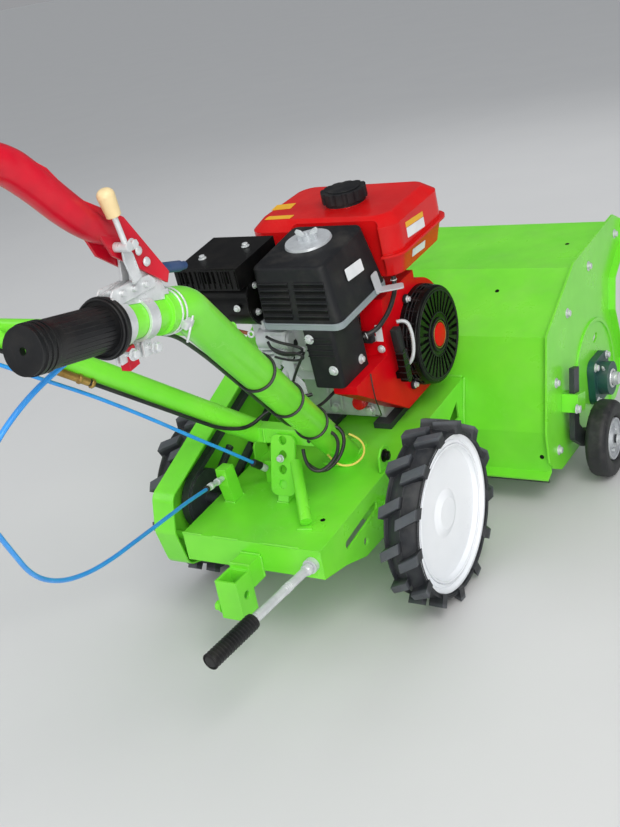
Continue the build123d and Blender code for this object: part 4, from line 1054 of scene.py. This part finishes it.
# Bolts round the crankcase's cover
COVER_BOLTS = ((-78, 26), (-80, 88), (-72, 150), (-4, 154), (66, 150), (72, 88), (68, 26), (-4, 22))
# The stop switch's wire along the shroud, in the machine's own millimetres
STOP_WIRE = ((104, 60, 362), (112, 46, 330), (111, 58, 298), (86, 104, 262), (58, 130, 252))
# The recoil starter: face, crank in (v, w), and the angles of the cover's ears
FACE_X, CRANK, EARS = 136.0, (9, 114), (0.5, 2.0, 3.9, 5.4)

AIR_CLEANER = (
    EngineTrim("air_cleaner_louvres", "black_plastic", louvres(
        (0, 4.6, 2.4, 0.4, 2, upper, ("size", (0.97, 0.45, 1)), ("move", (0, 0.6, 0))), 264.0)),
    # The slots between the louvres are dark_slot strips: painted shade standing for the dark inside
    # the openings
    EngineTrim("air_cleaner_slots", "black_plastic", louvres(
        (2, 3.4, 0.7, 0, 1, upper, ("inset", 0.4)), 259.8), "dark_slot"),
    EngineTrim("air_cleaner_blank", "rim_white", (
        (Bench.plate, (54, 20, 0.5, 2), ((93.4, -152, 306), (1, 0, 0.16), 1.5)),), "blank_white"),
    EngineTrim("air_cleaner_lip", "grey_gasket", (
        (Bench.rod, (1, 8), ((-34, -241.6, 250.6), (88, -241.6, 250.6)),
         ((102.5, -226, 250.6), (102.5, -86, 254.3))),)),
    EngineTrim("air_cleaner_wing", "nut_silver", (
        (Bench.rod, (3, 14), ((13, -142, 352), (13, -143.5, 370))),
        (Bench.outline, (WING, 3), ((13, -141.5, 354), (0.35, -0.94, 0.1))))),
    EngineTrim("tank_stay", "cast_alloy", (
        (Bench.plate, (20, 36, 2.5, 4), ((101.5, -108, 264), (1, 0, 0.1), 8.0)),
        (Bench.plate, (44, 18, 2.5, 4), ((120, -97, 249), (0.08, -0.1, 1), 6.0)))))

TANK = (
    EngineTrim("tank_blank_yellow", "cream_plastic", (
        (Bench.plate, (38, 28, 0.4, 1.5), ((-119, 4, TOP), UP, 8.0)),
        (Bench.plate, (52, 17, 0.4, 1.5), ((-96, -50, TOP), UP, 2.0)),
        (Bench.plate, (66, 9, 0.4, 1.2), ((133.2, 3, 330), (1, 0, 0.02)))), "blank_yellow"),
    EngineTrim("tank_blank_white", "rim_white", (
        (Bench.plate, (66, 17, 0.4, 1.2), ((133.2, 3, 316), (1, 0, 0.02))),
        (Bench.plate, (52, 14, 0.4, 1.5), ((128.6, 8, 276), (1, 0, -0.25)))), "blank_white"),
    EngineTrim("tank_neck", "red_paint", (
        (Bench.ring, (33, 2.2, 60, 8), ((*CAP, TOP + 0.4), UP)),)),
    EngineTrim("cap_crown", "black_plastic", (
        (Bench.puck, (30, 1.6, 48, 0.4, 1, upper, ("inset", 5), ("move", (0, 0, 0.9)),
                      ("inset", 12)), ((*CAP, 388.2), UP)),)))

MUFFLER = (
    EngineTrim("muffler_bolts", "zinc", (
        (Fastener.bolt, (9, 4.5, 7), ((-92, -170, 358), (0, -0.06, 1), 10.0),
         ((-153, -212, 354.6), (0, -0.06, 1), 40.0)),
        (Fastener.bolt, (8, 4, 6), ((-84, -244, 280), BACK, 15.0), ((-150, -245, 282), BACK, 30.0),
         *((around(-65.2, (-190, 279), 33, a), RIGHT, 20.0) for a in (-2.6, -1.4, 0.2, 2.2))))),
    EngineTrim("muffler_ridges", "black_gloss", (
        (Bench.brick, (2.6, 30, 1.8, 0.5, 2), *(
            ((-176 + 11.2 * i, -255.2, 334), BACK) for i in range(11))),)),
    EngineTrim("muffler_seams", "black_gloss", (
        (Bench.ring, (46.6, 1.5, 64, 8), ((-66, -192.5, 279), RIGHT),
         ((-178, -192.5, 279), RIGHT)),)),
    EngineTrim("muffler_fold", "black_gloss", (
        (Bench.rod, (1.6, 10), ((-183, -254, 352.5), (-62, -254, 352.5))),)))

CARBURETTOR = (
    EngineTrim("carburettor", "cast_alloy", (
        (Bench.puck, (17, 58, 32, 1, 2, ends, ("inset", 4), ("draw", 0), ("size", (0.8, 0.8, 1.1))),
         ((-74, -216, 212), RIGHT)),
        (Bench.puck, (18, 30, 32, 2, 3, lower, ("size", (0.72, 0.72, 1))), ((-38, -214, 168), UP)),
        (Bench.plate, (44, 30, 6, 8), ((-38, -214, 224), UP)),
        (Bench.rod, (5, 6), ((-38, -214, 158), (-38, -214, 170))),
        (Bench.rod, (9,), ((-64, -208, 226), (-64, -208, 244))),
        (Bench.rod, (13, 24, 2), ((-70, -196, 176), (-70, -204, 226))),
        (Bench.rod, (11, 20, 2), ((-52, -222, 130), (-30, -204, 160))),
        (Bench.brick, (34, 4, 14, 1, 2), *(
            ((-58, -214, w), (0.2, -1, 0)) for w in (182, 190, 198))))),
    EngineTrim("carburettor_cover_steps", "black_plastic", (
        (Bench.brick, (50, 2.4, 1.6, 0.5, 2), *(
            ((56, -243.1, w), BACK) for w in (196, 206, 216, 226))),)),
    EngineTrim("governor_arm", "cast_alloy", (
        (Bench.outline, (GOVERNOR, 3), ((2, -240, 122), (0.2, -1, 0.1), 20.0)),
        (Bench.outline, (CHOKE, 2), ((18, -234, 204), (0.1, -1, 0), 150.0)))),
    EngineTrim("carburettor_fixings", "zinc", (
        (Bench.ring, (2.6, 0.5, 14, 5), *(
            (between((-24, -240, 214), (8, -242, 178), i / 12), (0.66, -0.05, -0.74))
            for i in range(13))),
        (Bench.rod, (0.9, 8), ((-40, -240, 232), (-24, -240, 214)),
         ((8, -242, 178), (12, -240, 168))),
        (Bench.rod, (1.2, 8), ((-38, -232, 190), (20, -238, 196))),
        (Fastener.bolt, (10, 4.6, 8.4), ((72, -243.2, 171), BACK, 10.0),
         ((40, -243.2, 226), BACK, 20.0), ((84.2, -176, 158), RIGHT, 15.0)))))

LEADS = EngineTrim("carburettor_leads", "cable_black", (
    (Bench.tube, (2.4,), ((-46, -238, 226), (-20, -252, 224), (20, -252, 218), (28, -246, 206),
                          (0, -254, 200), (-34, -250, 206), (-44, -240, 218))),
    (Bench.tube, (2.2,), ((-40, -244, 212), (-14, -256, 206), (18, -256, 208), (30, -250, 196),
                          (6, -254, 190), (-30, -250, 196))),
    (Bench.tube, (2.4,), ((26, -246, 204), (10, -250, 180), (-8, -250, 150), (-22, -240, 124),
                          (-28, -214, 104)))))

CRANKCASE = (
    EngineTrim("fuel_line", "zinc", (
        (Bench.rod, (3.2, 16), ((-124, -247, 247), (-74, -246, 236))),), "copper"),
    EngineTrim("fuel_line_eye", "zinc", (
        (Bench.ring, (5, 2, 24, 8), ((-68, -247, 235), (0.1, -1, 0.2))),)),
    Trim("stop_switch", "black_plastic", (
        (Bench.brick, (24, 18, 14, 1.6, 2), ((74, 126, 402), engine_way(0, -1, 0.1))),)),
    Trim("shroud_blank", "rim_white", (
        (Bench.plate, (13, 30, 0.4, 1), ((92, 129.4, 405), engine_way(0, -1, 0.11))),),
        "blank_white"),
    EngineTrim("crankcase_foot", "cast_alloy", (
        (Bench.plate, (120, 26, 14, 6), ((-2, -84, 18), (0, -1, 0.1))),
        (Bench.brick, (5, 44, 8, 1, 2), *(((x, -96, 34), (0, -1, 0.1)) for x in (-48, -22, 4, 30))),
        (Bench.plate, (102, 110, 2.4, 12), *(
            ((-20, -60 - 0.9 * d, 118 + 0.436 * d), (0, -0.9, 0.436)) for d in range(26, 80, 7))),
        (Bench.brick, (5, 84, 7, 1.2, 2), *(
            ((x, 91, 104), (0, 1, 0.15)) for x in range(-82, 51, 22))),
        (Bench.plate, (168, 150, 5, 34), ((-91.8, -4, 88), LEFT)))),
    EngineTrim("crankcase_plugs", "zinc", (
        (Fastener.bolt, (14, 7, 9.5), ((-34, -104.2, 20), (0, -1, 0.08), 10.0),
         ((36, -104.2, 20), (0, -1, 0.08), 34.0)),
        (Fastener.bolt, (10, 5, 8), ((-60, -97, 70), (0, -1, 0.08), 0.0),
         ((40, -97, 74), (0, -1, 0.08), 20.0)),
        (Fastener.bolt, (10, 5, 8), *(((-96.9, v, w), LEFT, 9.0 * v) for v, w in COVER_BOLTS)))),
    EngineTrim("spark_plug_boot", "black_plastic", (
        (Bench.rod, (8, 20, 2), ((-20, -186, 190), (-20, -214, 206))),)),
    EngineTrim("oil_filler_cap", "red_paint", (
        (Bench.puck, (13, 20, 14, 0.9, 2, upper, ("inset", 3), ("draw", 4)),
         ((20, -102, 34), (0.25, -0.9, 0.35))),)))

RECOIL = (
    EngineTrim("recoil_plate", "red_paint", (
        (Bench.puck, (21, 1, 48, 0.3, 1, upper, ("inset", 2), ("move", (0, 0, 0.4))),
         ((FACE_X + 1.6, *CRANK), RIGHT)),), "shroud_red"),
    EngineTrim("recoil_plate_rim", "zinc", (
        (Bench.ring, (23.4, 0.9, 64, 8), ((FACE_X + 1.8, *CRANK), RIGHT)),), "brass"),
    EngineTrim("recoil_grid", "black_plastic", (
        *((Bench.ring, (radius, thick, 72, 8), ((FACE_X + rise, *CRANK), RIGHT))
          for radius, thick, rise in ((28.5, 1.3, 1.6), (38.5, 1, 0.2), (77.5, 1.3, 0),
                                      (81.5, 1.1, -0.8))),
        (Bench.rod, (1.3, 6), *(
            (around(FACE_X - 27, CRANK, 88.6, a), around(FACE_X - 6, CRANK, 86, a))
            for a in (2 * math.pi * (turn + 0.5) / 24 for turn in range(24)))),
        *((Bench.ring, (radius, 1.2, 96, 6), ((FACE_X - depth, *CRANK), RIGHT))
          for radius, depth in ((88.4, 25), (87.6, 18.5), (86.8, 12))))),
    EngineTrim("recoil_ears", "black_plastic", (
        (Bench.puck, (8.5, 5, 20, 1, 2), *((around(104, CRANK, 94, a), RIGHT) for a in EARS)),)),
    EngineTrim("recoil_bolts", "zinc", (
        (Fastener.bolt, (8, 4, 6), *((around(109, CRANK, 94, a), RIGHT, 10.0) for a in EARS)),)),
    EngineTrim("recoil_handle_ribs", "black_plastic", (
        (Bench.brick, (15.4, 18.4, 3, 0.8, 2, ends, ("size", (0.94, 0.94, 1))), *(
            ((121, -106, 112 + d), UP) for d in range(-24, 25, 12))),)),
    EngineTrim("recoil_handle_top", "black_plastic", (
        (Bench.brick, (14.6, 17, 44, 3, 3), ((120, -106.5, 139), (0, -0.06, 1))),)),
    EngineTrim("recoil_handle_stay", "cast_alloy", (
        (Bench.tube, (3.4,), ((116, -92, 186), (130, -86, 188), (136, -84, 168), (136, -86, 136),
                              (130, -92, 112), (120, -94, 106))),)),
    EngineTrim("shroud_bolts", "zinc", (
        (Fastener.bolt, (9, 4, 7), ((81, -119, 168), (0, -0.98, -0.2), 20.0),
         ((95, -122.5, 150), BACK, 10.0), ((92, 11, 27), (0, -0.2, -1), 0.0)),)),
    EngineTrim("hose_clips", "zinc", (
        (Bench.ring, (4.9, 0.9, 24, 8), ((112, -67, 252), UP),
         ((92, -156.8, 191.2), (-1, -0.9, -0.2))),)))


@dataclass
class ControlTrim:
    """Clamp bolts, rivets, linkage and springs of one side's hand controls."""

    side: Side
    x: float = 236.0
    pivot: tuple[float, float] = (-574.0, 760.0)
    ear: tuple[tuple[float, float], ...] = ((-8, 0), (8, 0), (7, 15), (3, 19), (-3, 19), (-7, 15))
    cheek: tuple[tuple[float, float], ...] = (
        (-34, 0), (34, 0), (36, 8), (28, 15), (-28, 18), (-34, 12))
    arm: tuple[tuple[float, float], ...] = ((-7, 0), (7, 0), (8, 26), (3, 42), (-4, 42), (-8, 26))
    # Line of the lever's rounded rear half in (y, z), and the factor of its radius
    spine: tuple[Point, ...] = (
        (-772, 903, 0.55), (-771, 903, 0.8), (-758, 905, 0.98), (-716, 899, 1.03),
        (-684, 870, 0.97), (-656, 840, 0.97), (-630, 816, 0.9), (-604, 798, 0.7),
        (-584, 784, 0.5))

    def spot(self, x: float, y: float, z: float) -> Point:
        """Mirrors the point for the left side."""
        return (self.side.value * x, y, z)

    def pin(self, a: Point, b: Point, *size: float) -> tuple:
        """Gives the row of a bar from a to b, mirrored for the left side."""
        return (Bench.rod, size, (self.spot(*a), self.spot(*b)))

    def clamp(self, share: float) -> tuple:
        """Gives the rows of a clamp's ears and bolt at that share of the grip's tube."""
        x, y, z = between(BEND, END, share)
        a, b = (x - 14, y, z - 31), (x + 14, y, z - 31)
        return (*((Bench.outline, (self.ear, 3), (self.spot(x + shift, y, z - 40), RIGHT))
                  for shift in (-4.5, 1.5)), self.pin(a, b, 2.6, 12),
                (Fastener.bolt, (9, 5, 6.5), (self.spot(*a), LEFT, 10.0),
                 (self.spot(*b), RIGHT, 30.0)))

    def clip(self) -> tuple:
        """Gives the rows of the hose clip at the tube's bend."""
        x, y, z = between(BEND, END, 0.15)
        run = self.spot(*(Vector(END) - Vector(BEND)))
        return ((Bench.ring, (24.9, 1.2, 56, 8), (self.spot(x, y, z), run),
                 (self.spot(x, y + 7, z - 1.4), run)),
                (Bench.brick, (13, 9, 8, 1, 2),
                 (self.spot(x + 22, y + 4, z - 13), self.spot(0.8, 0, -0.5))),
                self.pin((x + 30, y + 10, z - 8), (x + 24, y - 2, z - 34), 1.5, 8))

    def rack(self) -> tuple:
        """Gives the rows of the rack above the tube, its pins and the pull arm."""
        x, inset = self.x, 2.4 if self.side is Side.LEFT else 0.0
        a, b = (x - 18, -600, 786), (x + 22, -600, 786)
        return (*((Bench.outline, (self.cheek, 2.4), (self.spot(x + shift - inset, -600, 731),
                                                      RIGHT)) for shift in (-10.5, 8)),
                *(self.pin((x - 15, y, z), (x + 15, y, z), 3, 14)
                  for y, z in ((-636, 740), (-618, 742), (-600, 741), (-582, 739))),
                (Bench.outline, (self.arm, 2.4), (self.spot(x + 16, -598, 748), RIGHT, 12.0)),
                self.pin(a, b, 3.4, 14),
                (Fastener.bolt, (9, 4.5, 6), (self.spot(*a), LEFT, 0.0),
                 (self.spot(*b), RIGHT, 25.0)),
                self.pin((x + 1, -604, 786), (x + 3, -600, 812), 1.9, 10))

    def build(self) -> None:
        """Builds the side's controls."""
        tag, s, x = self.side.tag, self.side.value, self.x
        Trim("control_fixings_" + tag, "zinc", (
            *self.clamp(0.335), *self.clamp(0.49), *self.clip(), *self.rack())).build()
        Trim("lever_rivets_" + tag, "zinc", ((
            Fastener.carriage, (5, 2.6), (self.spot(x + 12, -582, 774), (s, 0, 0)),
            (self.spot(x + 12, *self.pivot), (s, 0, 0)),
            (self.spot(x - 12, *self.pivot), (-s, 0, 0))),)).build()
        Trim("lever_shell_" + tag, "lever_red", ((
            Bench.tube, (18, 32, [size for _, _, size in self.spine]),
            [self.spot(x, y, z) for y, z, _ in self.spine]),)).build()
        Trim("lever_sleeve_" + tag, "cable_black", (
            self.pin((x - 2, -546, 743), (x - 3, -506, 733), 6),
            self.pin((x - 3, -507, 733), (x - 3.2, -497, 731), 4.6)), "sleeve_blue").build()


@dataclass
class GripTrim:
    """Ridges along the rubber grip and its rings."""

    side: Side
    radius: float = 22.95
    ridges: int = 30
    # Way back from the tip, and radius
    rings: tuple[tuple[float, float], ...] = ((-0.6, 21.5), (108.5, 30.6), (104.0, 29.0))

    def build(self) -> None:
        """Builds the grip's ridges and rings."""
        s = self.side.value
        way = (Vector(END) - Vector(BEND)).normalized()
        way.x *= s
        tip = Vector((s * END[0], *END[1:]))
        across = way.cross(Vector((0, 0, 1))).normalized()
        rise = across.cross(way)
        lines = []
        for i in range(self.ridges):
            turn = 2 * math.pi * i / self.ridges
            edge = tip + (across * math.cos(turn) + rise * math.sin(turn)) * self.radius
            lines.append((edge - way * 100, edge - way * 26))
        Trim("grip_ridges_" + self.side.tag, "grip_rubber", (
            (Bench.rod, (0.9, 6, 0.1), *lines),
            *((Bench.ring, (radius, 1.3, 56, 8), (tip - way * back, way))
              for back, radius in self.rings))).build()


def plate_z(y: float) -> float:
    """Gives the height of the chassis plate's upper face, which rises from its rear edge."""
    rear_y, rear_z, length, rise = -215.0, 190.0, 558.8, 46.0
    return rear_z + (y - rear_y) * rise / length


def shift_rings(size: tuple, ways: Iterable[float]) -> tuple:
    """Gives the row of a ring at each way back along the shift rod."""
    return (Bench.ring, size, *(
        ((113 - 0.09 * d, -215.3 - d, 167 - 0.04 * d), (-0.09, -1, -0.04)) for d in ways))


def beside_tube(share: float, off: float = 25.7) -> Vector:
    """Gives the throttle cable's centre at that share of the left tube, off its middle."""
    top, low = (-BEND[0], *BEND[1:]), (-68.53, -48.51, 298.24)
    axis = (Vector(low) - Vector(top)).normalized()
    way = Vector((0.6, 0.0, -0.8))
    return Vector(between(top, low, share)) + (way - axis * axis.dot(way)).normalized() * off


# Radius of the drops, then the seam
BEADS = (
    (2.8, ((131.4, 343, 236), (131.4, 317.5, 165), (131.4, 317, 142))),
    (2.8, ((-131.4, 343, 236), (-131.4, 317.5, 165), (-131.4, 317, 142))),
    (2.4, ((-126, 344, 237), (126, 344, 237))),
    (1.9, ((-130, -214, 190.5), (-92, -214, 190.5))),
    (1.9, ((-70, -214, 190.5), (-20, -214, 190.5))),
    (1.9, ((26, -214, 190.5), (92, -214, 190.5))),
    (2.2, ((-18, -216.6, 168), (-18, -216.6, 132))),
    (2.2, ((18, -216.6, 168), (18, -216.6, 132))),
    (2.2, ((-18, -217, 170.5), (18, -217, 170.5))),
    (2.0, ((-18, -249, 170.5), (18, -249, 170.5))),
    (2.0, ((-13, -104, 199.4), (9, -104, 199.4))),
    (2.2, ((64, -170, 194.4), (88, -164, 195.0))),
    (1.9, ((-108, -120, 198.5), (-88, -120, 198.5))),
    (1.9, ((-109, -92, 200.8), (-87, -92, 200.8))),
    (2.4, [(33 + 26 * math.cos(a), 54 + 39 * math.sin(a), plate_z(54 + 39 * math.sin(a)) + 6.0)
           for a in (math.pi * i / 12 for i in range(25))]),
    (2.2, ((-76, -62.6, 286), (-74, -62.6, 310))),
    (2.2, ((-44, -62.6, 286), (-42, -62.6, 310))),
    (2.2, ((66, -62.4, 286), (68, -62.4, 310))))
# Outline of the chassis ears, and the ends of the left cable's ferrule
EAR = ((-20, -14), (20, -14), (20, 6), (14, 20), (4, 26), (-8, 24), (-18, 12))
FERRULE = ((-89, -176, 255.4), (-95, -136, 248.4))

CHASSIS = (
    Trim("weld_beads", "green_paint", tuple((Fastener.bead, row) for row in BEADS)),
    Trim("chassis_ears", "green_paint", (
        (Bench.outline, (EAR, 4), ((122, 24, plate_z(24) + 14), RIGHT),
         ((-126, 24, plate_z(24) + 14), RIGHT)),)),
    Trim("ear_bolts", "black_paint", (
        (Fastener.bolt, (15, 7, 11), ((126.2, 22, plate_z(22) + 24), RIGHT, 12.0),
         ((-126.2, 22, plate_z(22) + 24), LEFT, 12.0)),)),
    Trim("hitch_bolt", "green_paint", (
        (Fastener.bolt, (15, 9, 10), ((-22, -283, 112), LEFT, 12.0)),
        (Bench.rod, (5, 16), ((-34, -283, 112), (-16, -283, 112))))),
    Trim("height_bolt", "zinc", (
        (Fastener.bolt, (9, 5, 6.4), ((-2, -85.6, 270.6), (0, -0.95, 0.312), 10.0)),)),
    Trim("shift_linkage", "zinc", (
        (Bench.rod, (6.5,), ((112, -210, 167), (99, -38, 173))),
        (Bench.rod, (6,), ((60, -36, 173), (104, -38, 173))),
        (Bench.rod, (10, 6, 1), ((112.8, -225, 166.6), (111.8, -236, 166.2))),
        shift_rings((7, 0.7, 28, 6), (60, 64, 68, 72)))),
    Trim("shift_grip_rings", "grip_rubber", (
        shift_rings((12, 0.9, 28, 6), (*range(154, 246, 6), 246)),)),
    Trim("post_ties", "cable_black", tuple(
        row for (x, y, z), tilt in ((between(BEND, FOOT, 0.36), 0.0),
                                    (between(BEND, FOOT, 0.55), 6.0),
                                    (between(BEND, FOOT, 0.74), -3.0))
        for row in ((Bench.ring, (25.6, 2.3, 56, 8), (
                        (x, y, z), Vector(FOOT) - Vector(BEND) + Vector((tilt, 0, 0)))),
                    (Bench.brick, (7, 6, 5, 0.8, 2), (
                        (x - 16, y + 4, z - 19), (-0.6, 0.2, -0.8)))))),
    Trim("spare_loops", "cable_black", (
        (Bench.tube, (3,), ((74, -110, 318), (96, -96, 336), (112, -80, 318), (108, -86, 284),
                            (84, -108, 262), (66, -118, 282), (64, -112, 306)),
         ((68, -78, 322), (94, -60, 330), (112, -58, 306), (104, -78, 272), (80, -104, 258),
          (62, -104, 276))),)),
    Trim("yellow_lead", "cream_plastic", (
        (Bench.tube, (2,), ((58, -40, 262), (76, -48, 246), (98, -30, 238), (104, 2, 244),
                            (88, 24, 260), (66, 22, 268))),), "wire_yellow"),
    Trim("throttle_adjuster", "zinc", (
        (Bench.puck, (8, 5.5, 6, 0.6, 1), *(
            (beside_tube(share), beside_tube(1.0) - beside_tube(0.0))
            for share in (0.30, 0.345, 0.42, 0.455))),
        (Bench.rod, (6.1,), (beside_tube(0.31), beside_tube(0.45)))), "brass"),
    Trim("ferrule_nuts", "zinc", (
        (Bench.puck, (6.6, 7, 6, 0.5, 1), *(
            (between(*FERRULE, share), (-6, 40, -7)) for share in (0.15, 0.72))),)),
    Trim("cable_boots", "cable_black", (
        (Bench.rod, (6.9,), ((-65.4, -79, 254.4), (-61, -66, 242))),
        (Bench.rod, (5.4,), ((-87.2, -184, 256.8), (-88.4, -178, 255.8))))),
    Trim("guard_bolts", "zinc", (
        (Fastener.bolt, (11, 5, 9), *(
            ((-182.2, y, z), LEFT, 12.0 * i) for i, (y, z) in enumerate(
                ((100, 201), (-185, 165), (250, 410), (-170, 232), (180, 250))))),
        (Fastener.bolt, (11, 5, 10), ((-150, 40, 356.4), (0, -0.42, 0.9), 8.0)))),
    Trim("tension_spring", "dark_steel", (
        (Bench.ring, (6, 0.9, 16, 6), *(
            ((-160, -60 + i * 1.9, 214 + i * 1.2), (0, 1.9, 1.2)) for i in range(26))),)))


def main() -> None:
    """Builds the scene in order and notes its size."""
    logging.basicConfig(level=logging.INFO, format="%(relativeCreated)d %(message)s")
    PAINTS.mix_all()
    PAINTS.carry_over()
    Studio().build()
    ClutchCables().build()
    for side in Side:
        DriveWheel(side).build()
        GaugeWheel(side).build()
    DeckTrim().build()
    for trim in AIR_CLEANER + TANK + MUFFLER + CARBURETTOR:
        trim.build()
    LEADS.build(Bench.tube(STOP_WIRE, 1.1))
    for trim in CRANKCASE + RECOIL:
        trim.build()
    for side in Side:
        ControlTrim(side).build()
        GripTrim(side).build()
    for trim in CHASSIS:
        trim.build()


if __name__ == "__main__":
    main()
